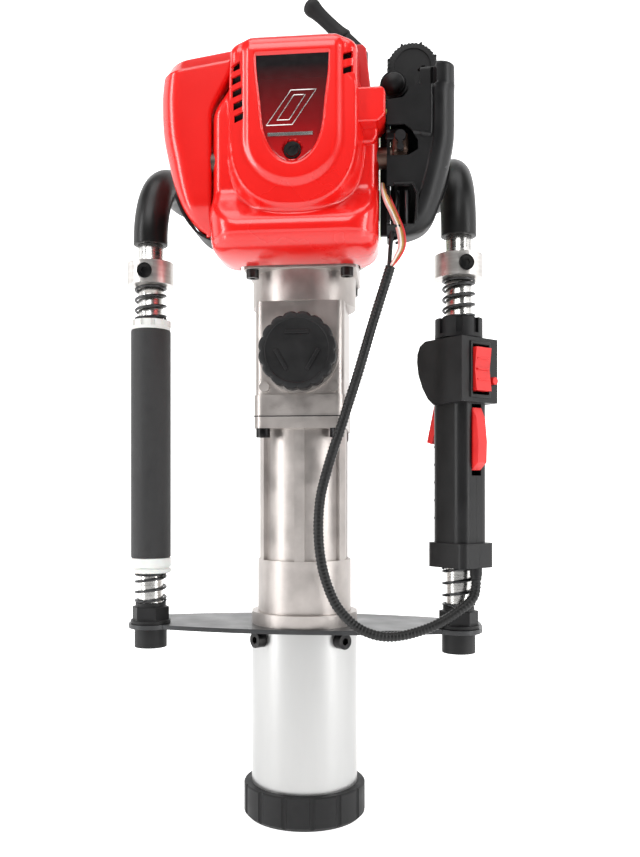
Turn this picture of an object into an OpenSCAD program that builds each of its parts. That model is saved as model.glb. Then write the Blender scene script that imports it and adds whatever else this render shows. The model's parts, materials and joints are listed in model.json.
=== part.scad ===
// Hand-held petrol post driver: barrel over the post, hammer mechanism above it,
// 35 cc four-stroke engine on top, and two sprung handles on a hooped handlebar.
// Frame: origin at the centre of the foot, +Z up the barrel, -Y the front, +X the control side.

/* [Barrel] */
// Outer radius of the barrel
barrel_r = 43; // [42.5:0.1:43.4]
// Radius of the bore that slides over a post
bore_r = 39.5; // [38:0.1:39.8]
// Height of the rubber foot collar
collar_h = 26.5; // [20:0.5:32]
// Outer radius of the foot collar
collar_r = 49.3; // [47.5:0.1:51]

/* [Handles] */
// Half the distance between the two handle tubes
tube_x = 123.5; // [123:0.1:124]
// Outer radius of the handle tube
tube_r = 10; // [9.6:0.1:10]
// Turn of the control handle about its tube, towards the right
handle_turn = 43; // [42:1:44]
// Radius of the foam on the left grip
foam_r = 16; // [14:0.1:17]

/* [Engine] */
// Bore radius of the engine cylinder
engine_bore_r = 21.5; // [21.5:0.1:21.6]
// Throw of the engine crank, half its stroke
engine_throw = 12; // [11.8:0.1:12]

/* [Hammer] */
// Throw of the hammer crank, half the stroke of the drive piston
hammer_throw = 12; // [11.8:0.1:12]
// Bore radius of the hammer cylinder
hammer_bore_r = 22.05; // [22.04:0.01:22.08]
// Teeth on the bevel pinion
pinion_teeth = 10; // [10:1:10]
// Teeth on the crank gear
gear_teeth = 30; // [30:1:30]

/* [Hidden] */
$fn = 48;
eps = 0.01;
big = 400;

// Heights up the barrel axis
barrel_top = 151.5;
relief_r = 40.5;
post_depth = 112;
plate_top = 155;
spigot_r = 40.4;
spigot_z = 131.5;
guide_top = 180;
stage_z = 207;
cylinder_top = 320;
case_top = 410;
crank_z = 369;
clutch_top = 448;
engine_z = 514;
recoil_top = 612;
rope_z = 622;
intake_y = -50;

// Handles
tube_y = -20;
sleeve_r = 13.75;
bend_r = 60;
back_bend_r = 45;
bend_z = 466;
lean = 4;
reach = 22;
slide_gap = 0.3;
spring_wire_r = 1.1;
spring_r = 11.9;

// Bevel gears: both pitch cones meet on the crank axis
gear_cone = atan(gear_teeth / pinion_teeth);
cone_distance = 27.4;
face_ratio = 0.84;
addendum = 0.9;
dedendum = 1.3;

// Conduit: route of its centre line, from the gland to the engine
conduit_r = 4;
conduit_route = [[135.8, -33.2, 194], [135.8, -33.2, 190], [134.5, -35.5, 183], [130, -39, 177],
    [122, -42, 171],
    [113.5, -44, 165.5], [103, -46, 160], [93, -49, 156.5], [82, -53, 154], [71, -56.5, 153],
    [60, -60, 154.5], [49, -62.5, 159], [40, -64.5, 166], [31, -66.5, 177], [25, -67.5, 190],
    [20.5, -68, 205], [18, -68, 222], [17.5, -67.5, 240], [19, -66.5, 258], [23, -65.5, 275],
    [28, -64.5, 292], [34, -63.5, 310], [40, -62.5, 329], [46, -61.5, 348], [51.5, -60.5, 367],
    [57, -59.5, 386], [62.5, -58.5, 404], [67.5, -57.5, 420], [70.5, -57, 430]];

// Sums and unit vectors along a route
function unit(v) = v / norm(v);
function heading(p, i) = unit(p[min(i + 1, len(p) - 1)] - p[max(i - 1, 0)]);
function side(t) = unit(cross(t, abs(t.z) < 0.8 ? [0, 0, 1] : [0, 1, 0]));
function next_side(s, t) = unit(s - (s * t) * t);
function sides(p, i = 0, acc = []) = i == len(p) ? acc
    : sides(p, i + 1, concat(acc, [i == 0 ? side(heading(p, 0))
        : next_side(acc[i - 1], heading(p, i))]));
function ring(c, t, s, r, n) = [for (k = [0:n - 1])
    c + r * (cos(k * 360 / n) * s + sin(k * 360 / n) * cross(t, s))];

// A tube swept along the points p, closed at both ends
module sweep(p, r, n = 8) {
    s = sides(p);
    rings = [for (i = [0:len(p) - 1]) ring(p[i], heading(p, i), s[i], r, n)];
    last = len(p) - 1;
    quads = [for (i = [0:last - 1]) for (k = [0:n - 1])
        let (a = i * n + k, b = i * n + (k + 1) % n)
        each [[a, a + n, b], [b, a + n, b + n]]];
    start = [for (k = [1:n - 2]) [0, k, k + 1]];
    end = [for (k = [1:n - 2]) [last * n, last * n + k + 1, last * n + k]];
    polyhedron([for (g = rings) each g], concat(quads, start, end));
}

// A coil spring standing on z0
module coil(z0, height, turns, r, wire) {
    steps = round(turns * 14);
    sweep([for (i = [0:steps]) [r * cos(i * turns * 360 / steps), r * sin(i * turns * 360 / steps),
        z0 + wire + i * (height - 2 * wire) / steps]], wire, 6);
}

// Basic solids
module disc(r, z0, z1) {
    translate([0, 0, z0]) cylinder(r = r, h = z1 - z0);
}

module pipe(r_out, r_in, z0, z1) {
    difference() {
        disc(r_out, z0, z1);
        disc(r_in, z0 - 1, z1 + 1);
    }
}

// A cylinder along Y, from y0 to y1
module disc_y(r, y0, y1) {
    translate([0, y0, 0]) rotate([-90, 0, 0]) cylinder(r = r, h = y1 - y0);
}

module disc_x(r, x0, x1) {
    translate([x0, 0, 0]) rotate([0, 90, 0]) cylinder(r = r, h = x1 - x0);
}

// A block with its four upright edges rounded
module block(x0, x1, y0, y1, z0, z1, r) {
    translate([x0, y0 + r, z0]) cube([x1 - x0, y1 - y0 - 2 * r, z1 - z0]);
    translate([x0 + r, y0, z0]) cube([x1 - x0 - 2 * r, y1 - y0, z1 - z0]);
    for (x = [x0 + r, x1 - r], y = [y0 + r, y1 - r])
        translate([x, y, 0]) disc(r, z0, z1);
}

// A block with its four edges along Y rounded
module block_y(x0, x1, y0, y1, z0, z1, r) {
    translate([0, y1, 0]) rotate([90, 0, 0]) block(x0, x1, z0, z1, 0, y1 - y0, r);
}

module box(x0, x1, y0, y1, z0, z1) {
    translate([x0, y0, z0]) cube([x1 - x0, y1 - y0, z1 - z0]);
}

// A socket-head screw lying along +Z, its head above z = 0
module cap_screw(head_r, head_h, shank_r, shank_l) {
    difference() {
        cylinder(r = head_r, h = head_h);
        translate([0, 0, head_h * 0.4]) cylinder(r = head_r * 0.5, h = head_h, $fn = 6);
    }
    translate([0, 0, -shank_l]) cylinder(r = shank_r, h = shank_l + eps);
}

module at_tubes() {
    for (s = [-1, 1]) translate([s * tube_x, tube_y, 0]) children();
}

module at_collar_screws() {
    for (s = [-1, 1]) translate([s * tube_x, tube_y, 437]) rotate([0, 0, s > 0 ? 15 : 0])
        children();
}

module at_handle() {
    translate([tube_x, tube_y, 0]) rotate([0, 0, handle_turn]) children();
}

// ---- Barrel and foot

module foot_collar() color("#1c1c1e") {
    difference() {
        rotate_extrude() polygon([[barrel_r, 0], [collar_r - 3, 0], [collar_r, 3],
            [collar_r, collar_h - 1], [collar_r - 1, collar_h], [barrel_r, collar_h]]);
        for (i = [0:13]) rotate([0, 0, i * 360 / 14])
            translate([collar_r + 1.6, 0, 0]) disc(3, -1, collar_h + 1);
    }
}

module barrel() color("#c9cbcd") {
    difference() {
        disc(barrel_r, 0, barrel_top);
        disc(bore_r, -1, post_depth);
        disc(relief_r, post_depth, barrel_top + 1);
        for (i = [0:3]) rotate([0, 0, 45 + 90 * i]) translate([0, 0, 145]) disc_x(3, 30, 50);
    }
}

module mounting_plate() color("#4a4c4e") {
    difference() {
        union() {
            intersection() {
                translate([0, 384.5, 0]) disc(431, barrel_top, plate_top);
                translate([0, -288, 0]) disc(340, barrel_top, plate_top);
                disc(143, barrel_top, plate_top);
            }
            at_tubes() disc(17.5, barrel_top, plate_top);
        }
        disc(relief_r, 0, big);
        at_tubes() disc(tube_r, 0, big);
    }
}

// ---- Hammer

module cylinder_outside() {
    disc(spigot_r, spigot_z, plate_top);
    disc(barrel_r, plate_top, 165);
    disc(38, 165, stage_z);
    disc(34.5, stage_z, 311);
    for (a = [-150, -90, -30, 30, 90, 150]) rotate([0, 0, a]) box(30, 37.5, -4, 4, stage_z, 311);
    block(-36, 36, -42, 38, 311, cylinder_top, 8);
}

module hammer_cylinder() color("#b9b6b0") {
    difference() {
        cylinder_outside();
        disc(14.05, 100, guide_top + 1);
        disc(hammer_bore_r, guide_top, cylinder_top + 1);
        for (i = [0:3]) rotate([0, 0, 45 + 90 * i]) translate([0, 0, 145]) disc_x(3, 28, 50);
        for (x = [-29, 29], y = [-35, 31]) translate([x, y, 0]) disc(3, 300, cylinder_top + 1);
        for (x = [-29, 29], y = [-35, 31]) translate([x, y, 0]) disc(6.2, 290, 311);
    }
}

module anvil() color("#7d7f82") {
    rotate_extrude() polygon([[0, 113], [34, 113], [36, 115], [36, 123], [14, 123], [14, 181],
        [17, 181], [17, 183.5], [14, 183.5], [14, 188], [12, 190], [0, 190]]);
}

module striker() color("#8a8c8f") {
    rotate_extrude() polygon([[0, 199], [18, 199], [22, 203], [22, 214], [20.5, 214], [20.5, 217],
        [22, 217], [22, 231.5], [0, 231.5]]);
}

// Hollow piston: the rod's small end works inside it with room to spare
module drive_piston() color("#9a9c9f") {
    rotate_extrude() polygon([[0, 252], [22, 252], [22, 255], [20.8, 255], [20.8, 257.5],
        [22, 257.5], [22, 312], [19.5, 312], [19.5, 260], [0, 260]]);
}

module rod(big_r, big_bore, small_r, pin_r, length, thick, pin_l) {
    difference() {
        union() {
            cylinder(r = big_r, h = thick, center = true);
            translate([0, -length, 0]) cylinder(r = small_r, h = thick, center = true);
            translate([-4, -length, -thick / 2]) cube([8, length - big_r + 2, thick]);
        }
        cylinder(r = big_bore, h = thick + 2, center = true);
        translate([0, -length, 0]) cylinder(r = pin_r, h = thick + 2, center = true);
    }
    translate([0, -length, 0]) cylinder(r = pin_r, h = pin_l, center = true);
}

module connecting_rod() color("#77797c") {
    translate([0, 0, crank_z - hammer_throw]) rotate([90, 0, 0])
        rod(8.5, 5.05, 7, 4, 60, 9, 20);
}

// ---- Bevel gears, in a frame with the cone apex at 0 and the gear up +Z

function pitch_point(angle, s) = [s * sin(angle), s * cos(angle)];
function off_cone(angle, s, d) = pitch_point(angle, s) + d * [cos(angle), -sin(angle)];

module bevel_slots(teeth, angle, root_w, flare) {
    outer = off_cone(angle, cone_distance + 3, -dedendum);
    depth = 4;
    top_w = root_w + 2 * depth * tan(flare);
    for (i = [0:teeth - 1]) rotate([0, 0, i * 360 / teeth])
        translate([outer.x, 0, outer.y]) rotate([0, 90 + angle, 0]) rotate([90, 0, 90])
            linear_extrude(height = 12)
                polygon([[-root_w / 2, 0], [root_w / 2, 0], [top_w / 2, depth],
                    [-top_w / 2, depth]]);
}

module bevel_blank(angle, back) {
    tip_in = off_cone(angle, cone_distance * face_ratio, addendum);
    tip_out = off_cone(angle, cone_distance, addendum);
    root_in = off_cone(angle, cone_distance * face_ratio, -dedendum - 1);
    rotate_extrude() polygon(concat([[0, root_in.y], root_in, tip_in, tip_out], back));
}

module crank_gear() color("#6f7174") {
    translate([0, 0, crank_z]) rotate([90, 0, 0]) {
        difference() {
            bevel_blank(gear_cone, [[26.3, 12], [22, 14], [0, 14]]);
            rotate([0, 0, 6]) bevel_slots(gear_teeth, gear_cone, 2.5, 18);
        }
        disc(8, 13, 25.5);
        disc(7.95, 25, 37);
        translate([0, -hammer_throw, 0]) disc(5, -5.5, 13);
    }
}

module bevel_pinion() color("#6f7174") {
    translate([0, 0, crank_z]) {
        difference() {
            bevel_blank(90 - gear_cone, [[9.6, 27.3], [9.6, 28.5], [0, 28.5]]);
            rotate([0, 0, 90 + 18]) bevel_slots(pinion_teeth, 90 - gear_cone, 2.3, 26);
        }
        disc(5.95, 27, 51.5);
    }
}

module bearing_carrier() color("#8f9092") {
    translate([0, 0, crank_z]) difference() {
        disc_y(28.4, -37.5, -26);
        disc_y(9, -40, -20);
        disc_y(16, -36, -20);
    }
}

module gear_case() color("#b9b6b0") {
    difference() {
        union() {
            block(-36, 36, -42, 38, cylinder_top, 337, 8);
            block(-35, 35, -40, 38, 337, case_top, 7);
            translate([0, 0, crank_z]) disc_y(31, -45, -39);
            for (x = [-27, 27]) translate([x, 0, 343]) disc_y(4, -43, -39);
        }
        translate([0, 0, crank_z]) disc_y(28.5, -46, 30);
        disc(hammer_bore_r + 0.3, cylinder_top - 1, 350);
        disc(10.5, 380, case_top + 1);
        disc(13, 400, case_top + 1);
        for (x = [-29, 29], y = [-35, 31]) translate([x, y, 0]) disc(3, cylinder_top - 1, 332);
    }
}

module gearbox_cap() color("#202022") {
    translate([0, 0, crank_z]) difference() {
        union() {
            disc_y(30, -58, -45.3);
            disc_y(28.2, -45.3, -38.5);
        }
        disc_y(22, -50, -38);
        for (i = [0:15]) rotate([0, i * 22.5, 0]) translate([31.4, 0, 0]) disc_y(3, -60, -45);
        disc_y(24, -60, -57);
    }
}

module ball_bearings() color("#a8aaac") {
    translate([0, 0, crank_z]) difference() {
        disc_y(16, -36, -26);
        disc_y(8, -40, -20);
    }
    pipe(13, 6, 400.5, 409.5);
    pipe(15, 7.05, 482, 492);
    pipe(15, 7.05, 536, 546);
}

module clutch_housing() color("#b9b6b0") {
    difference() {
        union() {
            disc(42, case_top, 436);
            block(-44, 44, -44, 44, 435, clutch_top, 9);
        }
        disc(38, 414, clutch_top + 1);
        disc(10, 400, 420);
        for (x = [-37, 37], y = [-37, 37]) translate([x, y, 0]) disc(3, 430, clutch_top + 1);
    }
}

module clutch_drum() color("#77797c") {
    difference() {
        disc(36, 417, 439);
        disc(33.5, 420.8, 440);
        disc(5.95, 410, 420.5);
    }
}

module clutch_shoes() color("#5b4a3c") {
    for (s = [-1, 1]) intersection() {
        pipe(32.4, 12, 423, 436);
        translate([0, s * 20.5, 420]) translate([-40, -18.5, 0]) cube([80, 37, 20]);
    }
    pipe(13.5, 7, 425, 434);
}

module cap_screws() color("#161618") {
    for (i = [0:3]) rotate([0, 0, 45 + 90 * i]) translate([barrel_r, 0, 145]) rotate([0, 90, 0])
        cap_screw(6.2, 7.5, 3, 14);
    for (x = [-29, 29], y = [-35, 31]) translate([x, y, 311]) rotate([180, 0, 0])
        cap_screw(5.5, 7, 3, 20);
    for (x = [-37, 37], y = [-37, 37]) translate([x, y, 435]) rotate([180, 0, 0])
        cap_screw(5, 6.5, 3, 25);
    at_collar_screws() translate([0, -18, 0]) rotate([90, 0, 0]) cap_screw(6, 1.5, 3, 7.5);
    translate([0, -86.5, 510]) rotate([90, 0, 0]) cap_screw(5, 1, 2.5, 2);
}

// ---- Engine

module flywheel() color("#a3a5a7") {
    difference() {
        union() {
            disc(43, 452, 464);
            for (i = [0:15]) rotate([0, 0, i * 22.5]) box(20, 42.5, -1.25, 1.25, 463, 473);
        }
        disc(7, 440, 480);
        pipe(38, 16, 458, 465);
    }
    for (i = [0:15]) rotate([0, 0, i * 22.5]) box(15, 39, -1.25, 1.25, 457, 465);
}

module crankshaft() color("#8a8c8f") {
    disc(7, 422.5, 499.5);
    disc(23, 499, 506);
    translate([0, -engine_throw, 0]) disc(6, 505, 523);
    disc(23, 522, 529);
    disc(7, 528.5, 590);
}

module crankcase() color("#aeb0b2") {
    difference() {
        union() {
            disc(52, clutch_top, 480);
            block(-36, 36, -28, 36, 478, 552, 6);
        }
        difference() {
            disc(49, clutch_top - 1, 476);
            for (x = [-37, 37], y = [-37, 37]) translate([x, y, 0]) disc(6, clutch_top - 1, 477);
        }
        disc(9, 470, 553);
        disc(15, 482, 492);
        disc(15, 536, 546);
        disc(26, 497.5, 530.5);
        translate([0, 0, engine_z]) disc_y(18.5, -30, 0);
        for (x = [-37, 37], y = [-37, 37]) translate([x, y, 0]) disc(3, clutch_top - 1, 460);
    }
}

module engine_rod() color("#9a9c9f") {
    translate([0, -engine_throw, engine_z]) rod(10, 6.05, 6, 3.5, 42, 9, 15);
}

module engine_piston() color("#b4b6b8") {
    translate([0, 0, engine_z]) difference() {
        disc_y(engine_bore_r - 0.05, -66, -38);
        disc_y(19.3, -62, -30);
    }
}

module cylinder_block() color("#9fa1a3") {
    translate([0, 0, engine_z]) difference() {
        union() {
            disc_y(26, -70, -28);
            for (y = [-64:5.5:-31]) block_y(-31, 31, y, y + 2, -31, 31, 8);
            block_y(-31, 31, -80, -68, -31, 31, 8);
        }
        disc_y(engine_bore_r, -68, -27);
        translate([26, -74, 24]) rotate([0, 0, 12]) disc_x(4.6, -8, 12);
        translate([0, intake_y, 0]) disc_x(9, -32, -26.4);
        translate([0, intake_y, 0]) disc_x(8, 26.4, 32);
    }
}

module spark_plug() color("#e9e6df") {
    translate([26, -74, engine_z + 24]) rotate([0, 0, 12]) {
        disc_x(4.6, -7, 6);
        disc_x(6.5, 6, 14);
        disc_x(4.2, 13.5, 24);
        disc_x(6, 23.5, 35);
    }
}

module muffler() color("#6b6864") {
    difference() {
        union() {
            block(-97, -68, -56, 2, 486, 582, 8);
            translate([0, intake_y, engine_z]) disc_x(9, -70, -26.5);
        }
        translate([0, intake_y, engine_z]) disc_x(7, -74, -20);
        block(-95, -70, -54, 0, 488, 580, 6);
        translate([-83, 0, 560]) disc_y(5, -3, 20);
    }
}

module carburetor() color("#9c8f7a") {
    difference() {
        union() {
            block(71.5, 84, -60, -40, 499, 529, 4);
            translate([0, intake_y, engine_z]) disc_x(8, 26.5, 72);
        }
        translate([0, intake_y, engine_z]) disc_x(6, 20, 90);
    }
}

module air_cleaner_base() color("#242426") {
    difference() {
        union() {
            intersection() {
                cleaner_outline(2.6);
                box(50, 130, -37.6, -35.1, 440, 600);
            }
            box(72, 86, -36, -33.5, 540, 549.3);
            box(67, 89, -35.1, -33, 545, 584);
            translate([73, 0, 573]) disc_y(10.4, -43, -33.5);
        }
        translate([73, 0, 573]) disc_y(9.4, -50, -37.6);
    }
}

module air_filter() color("#3a3a3c") {
    block(92, 113, -60, -40, 502, 560, 5);
}

module cleaner_outline(inset) {
    difference() {
        intersection() {
            block_y(68 + inset, 118.5 - inset, -66 + inset, -35.2, 451 + inset, 580 - inset,
                8 - inset);
            union() {
                box(50, 130, -90, 0, 511, 600);
                translate([58.5, 0, 511]) disc_y(60 - inset, -90, 0);
            }
        }
        box(50, 80 + inset, -90, 0, 552 - inset, 600);
        box(50, 84.5 + inset, -90, 0, 558 - inset, 600);
        box(50, 92.5 + inset, -90, 0, 563 - inset, 600);
    }
}

module air_cleaner_cover() color("#1d1d1f") {
    difference() {
        cleaner_outline(0);
        cleaner_outline(2.5);
        box(70.5, 92, -70, -62, 511, 533);
        box(72, 93, -70, -60, 457, 484);
        translate([0, intake_y, engine_z]) disc_x(9.5, 60, 74);
    }
}

// Outline of the red cover: rounded in plan and at its lower corners, with a narrower head
module cover_solid(inset) {
    intersection() {
        block(-65 + inset, 65 - inset, -88 + inset, 40, 430, 600, 30 - inset);
        block_y(-65 + inset, 65 - inset, -90, 40, 440 + inset, 640, 26 - inset);
        union() {
            box(-70, 70, -90, 40, 430, 566 - inset);
            block_y(-48 + inset, 48 - inset, -90, 40, 500, 597 - inset, 14 - inset);
        }
    }
}

module top_cover() color("#b3161b") {
    difference() {
        cover_solid(0);
        cover_solid(2.5);
        box(-90, 90, -32, 60, 430, 610);
        disc(53.5, 430, 484);
        disc(47, 570, 610);
        box(-45, 45, -45, 0, 430, clutch_top + 1);
        translate([0, intake_y, engine_z]) disc_x(11, -70, -60);
        translate([0, intake_y, engine_z]) disc_x(10, 60, 70);
        block_y(39.5, 70, -81.5, -44, 533.5, 556.5, 3);
        translate([0, 0, 510]) disc_y(2.6, -90, -80);
        translate([0, 0, 510]) disc_y(5.6, -90, -86.5);
    }
}

module plug_cover() color("#b3161b") {
    difference() {
        union() {
            block_y(37, 68, -84, -46, 531, 559, 5);
            block_y(44, 58, -60, -33, 554, 598, 4);
        }
        cover_solid(-0.3);
        block_y(39.5, 65.5, -81.5, -44, 533.5, 556.5, 3);
    }
}

module muffler_outline(inset) {
    intersection() {
        block_y(-107 + inset, 0, -64 + inset, 8 - inset, 456 + inset, 601 - inset, 10 - inset);
        union() {
            translate([-57, 0, 506]) disc_y(50 - inset, -70, 40);
            box(-120, 20, -70, 40, 506, 610);
        }
    }
}

module muffler_cover() color("#b3161b") {
    difference() {
        muffler_outline(0);
        muffler_outline(2.5);
        box(-65.5, 30, -80, 50, 440, 567.5);
        box(-49.5, 30, -80, 50, 440, 620);
        for (i = [0:4]) translate([-82, 0, 500 + 14 * i]) disc_y(4, 0, 20);
    }
}

// The rope leaves the housing up and to the left
module at_rope() {
    translate([42, 0, rope_z]) rotate([0, -45, 0]) children();
}

module recoil_housing() color("#26262a") {
    difference() {
        union() {
            disc(30, 552, 580);
            disc(46, 578, recoil_top);
            translate([43, 0, 0]) disc(9, 586, recoil_top + 6);
            at_rope() disc(6, -6, 12);
        }
        disc(27, 551, 582);
        disc(43.5, 580.5, recoil_top - 2.5);
        translate([43, 0, 0]) disc(2.5, 596, rope_z - 1);
        at_rope() disc(2.5, -2, 30);
    }
}

module recoil_pulley() color("#d9d6cc") {
    difference() {
        union() {
            disc(30, 592, 594);
            disc(27, 592, 601);
            disc(30, 599, 601);
            disc(10, 591, 608);
        }
        disc(4, 590, 605);
    }
}

module starter_grip() color("#18181a") {
    at_rope() {
        translate([0, 0, 12.3]) rotate_extrude()
            polygon([[0, 0], [7, 0], [7, 3], [6, 8], [6, 32], [7.2, 36], [7.2, 40], [5, 43.5],
                [0, 44]]);
        disc(1.5, 2, 12.5);
    }
}

module tank_solid(inset) {
    block(-62 + inset, 62 - inset, 40 + inset, 66 - inset, 482 + inset, 577 - inset, 10 - inset);
    block(60 + inset, 106 - inset, 34 + inset, 64 - inset, 566 + inset, 611, 10 - inset);
    at_tank_neck() disc_y(19 - inset, 34 + inset, 64 - inset);
}

module at_tank_neck() {
    translate([88, 0, 611]) children();
}

module fuel_tank() color("#e5e2d6") {
    difference() {
        union() {
            tank_solid(0);
            at_tank_neck() disc_y(14, 22, 36);
            box(-40, 40, 36, 41, 500, 540);
        }
        tank_solid(2);
        at_tank_neck() disc_y(11.5, 15, 40);
    }
}

module fuel_cap() color("#1a1a1c") {
    at_tank_neck() difference() {
        union() {
            disc_y(21, 10.5, 26);
            for (i = [0:7]) rotate([0, i * 45 + 20, 0]) translate([20.6, 0, 0]) disc_y(1.3, 12, 25);
        }
        disc_y(14.3, 14, 30);
    }
}

module primer_bulb() color("#2a2a2c") {
    translate([73, -42, 573]) rotate([90, 0, 0]) rotate_extrude()
        polygon([[0, 0], [9, 0], [9, 1.8], [7.8, 5], [5.6, 7.2], [2.8, 8.4], [0, 8.8]]);
}

module choke_lever() color("#1d1d1f") {
    translate([78, -62.3, 526]) {
        disc_y(4, -2, 2);
        box(-1.6, 1.6, -2, 1, -9, 0);
        translate([0, 0, -9]) disc_y(2.5, -3.5, 1);
    }
}

// ---- Handlebar

// Centre line of the right half: upright, bent back, level, then bent in to the middle
bend_steps = 10;
function turned(d, z) = [tube_x - d.x * sin(lean) - d.y * cos(lean),
    tube_y + d.x * cos(lean) - d.y * sin(lean), z];
function half_bar(z0) = concat(
    [[tube_x, tube_y, z0]],
    [for (i = [0:bend_steps]) let (a = 90 * i / bend_steps)
        turned([bend_r * (1 - cos(a)), 0], bend_z + bend_r * sin(a))],
    [for (i = [0:bend_steps]) let (a = (90 - lean) * i / bend_steps)
        turned([bend_r + reach + back_bend_r * sin(a), back_bend_r * (1 - cos(a))],
            bend_z + bend_r)]);
function mirrored(p) = [for (i = [len(p) - 1:-1:0]) [-p[i].x, p[i].y, p[i].z]];
function whole_bar(z0) = concat(half_bar(z0), mirrored(half_bar(z0)));

module handlebar() color("#b7b9bb") {
    sweep(whole_bar(452), tube_r - 0.1, 16);
    at_tubes() pipe(tube_r, tube_r - 1.8, 136, 462);
}

module handlebar_sleeve() color("#19191b") {
    difference() {
        sweep(whole_bar(462), sleeve_r, 16);
        sweep(whole_bar(450), tube_r + 0.3, 16);
    }
}

module handlebar_nuts() color("#1a1a1c") {
    at_tubes() {
        pipe(13, tube_r, 136, barrel_top);
        pipe(16, tube_r, plate_top, 158);
        difference() {
            translate([0, 0, 158]) cylinder(r = 15.25, h = 10.6, $fn = 6);
            disc(tube_r, 150, 170);
        }
        pipe(12.25, tube_r, 168.6, 172);
    }
}

module spring_collars() color("#c4c5c6") {
    difference() {
        at_tubes() pipe(18.75, tube_r, 428, 446);
        at_collar_screws() {
            disc_y(6.2, -20, -18);
            disc_y(3.1, -19, -9);
        }
    }
}

module lower_spring_left() color("#2b2b2d") {
    translate([-tube_x, tube_y, 0]) coil(172.1, 23.8, 2.5, spring_r, spring_wire_r);
}

module upper_spring_left() color("#2b2b2d") {
    translate([-tube_x, tube_y, 0]) coil(400.1, 27.8, 3, spring_r, spring_wire_r);
}

module lower_spring_right() color("#2b2b2d") {
    translate([tube_x, tube_y, 0]) coil(172.1, 30.8, 3, spring_r, spring_wire_r);
}

module upper_spring_right() color("#2b2b2d") {
    translate([tube_x, tube_y, 0]) coil(396.1, 31.8, 3.5, spring_r, spring_wire_r);
}

module left_grip() color("#1d1d1f") {
    translate([-tube_x, tube_y, 0]) pipe(foam_r, tube_r + slide_gap + 1.5, 208, 392);
}

module left_grip_ends() color("#efefea") {
    translate([-tube_x, tube_y, 0]) {
        pipe(foam_r + 0.5, tube_r + slide_gap, 196, 208);
        pipe(foam_r, tube_r + slide_gap, 392, 400);
        pipe(tube_r + slide_gap + 1.5, tube_r + slide_gap, 208, 392);
    }
}

// ---- Control handle, in a frame with its tube on Z and the switch face towards -Y

module housing_side(half_w) {
    rotate([90, 0, 90]) translate([0, 0, -half_w]) linear_extrude(height = 2 * half_w)
        polygon([[-22, 330], [-22, 379.5], [17, 379.5], [23, 376], [25.5, 370], [26, 364],
            [24.5, 354], [20, 343], [14, 334], [8, 329]]);
}

module handle_body() {
    block(-15.5, 15.5, -18.5, 16.5, 214, 333, 9);
    block(-18, 18, -22, 18, 203, 222, 6);
    housing_side(20);
    disc(14, 379, 381);
}

module handle_cuts() {
    disc(tube_r + slide_gap, 190, 400);
    box(-5.4, 5.4, 11.2, 40, 294, 346);
    box(-5.2, 5.2, -40, -11.2, 274, 329);
    box(-8.9, 8.9, -23, -11.2, 336, 374);
    translate([14, 0, 347]) disc_y(3.3, -23, -15);
    translate([-4, 0, 371]) disc_y(3.3, 15, 40);
}

module handle_shell_left() color("#1c1c1e") {
    at_handle() difference() {
        handle_body();
        handle_cuts();
        box(0, 60, -60, 60, 150, 420);
    }
}

module handle_shell_right() color("#1c1c1e") {
    at_handle() difference() {
        handle_body();
        handle_cuts();
        box(-60, 0, -60, 60, 150, 420);
    }
}

module ring_nut() color("#171719") {
    at_handle() difference() {
        pipe(18.5, tube_r + slide_gap, 381, 396);
        for (i = [0:7]) rotate([0, 0, i * 45]) box(16, 20, -2.5, 2.5, 384, 397);
    }
}

module rocker() color("#d4161c") {
    at_handle() {
        rotate([90, 0, 90]) translate([0, 0, -8.25]) linear_extrude(height = 16.5)
            polygon([[-26.5, 338.5], [-24.5, 355], [-26.5, 371.5], [-19, 371.5], [-15, 358],
                [-15, 352], [-19, 338.5]]);
        translate([0, -19, 355]) disc_x(1.5, -8.6, 8.6);
    }
}

module stop_button() color("#d4161c") {
    at_handle() translate([14, 0, 347]) disc_y(3, -25.5, -18);
}

module throttle_trigger() color("#c4161b") {
    at_handle() {
        rotate([90, 0, 90]) translate([0, 0, -5]) linear_extrude(height = 10)
            polygon([[13, 338], [16, 341], [19.5, 338.5], [24, 322], [30, 301], [24.5, 299.5],
                [19, 314], [15.5, 326]]);
        translate([0, 15.5, 337.5]) disc_x(1.5, -5.3, 5.3);
    }
}

module lockout() color("#d4161c") {
    at_handle() {
        rotate([90, 0, 90]) translate([0, 0, -4.8]) linear_extrude(height = 9.6)
            polygon([[-18, 278], [-24.5, 284], [-25, 300], [-23, 318], [-19, 326], [-16, 325],
                [-16.5, 318], [-18, 300]]);
        translate([0, -18.5, 324]) disc_x(1.2, -5.1, 5.1);
    }
}

module lock_knob() color("#1b1b1d") {
    at_handle() translate([-4, 0, 371]) {
        disc_y(3, 18, 30);
        disc_y(6.5, 29.5, 36);
    }
}

module cable_gland() color("#171719") {
    translate([conduit_route[0].x, conduit_route[0].y, 0]) {
        pipe(4.7, 3, 197, 203);
        pipe(4.3, 3, 194, 197);
    }
}

module conduit() color("#161618") {
    sweep(conduit_route, conduit_r, 10);
}

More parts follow.
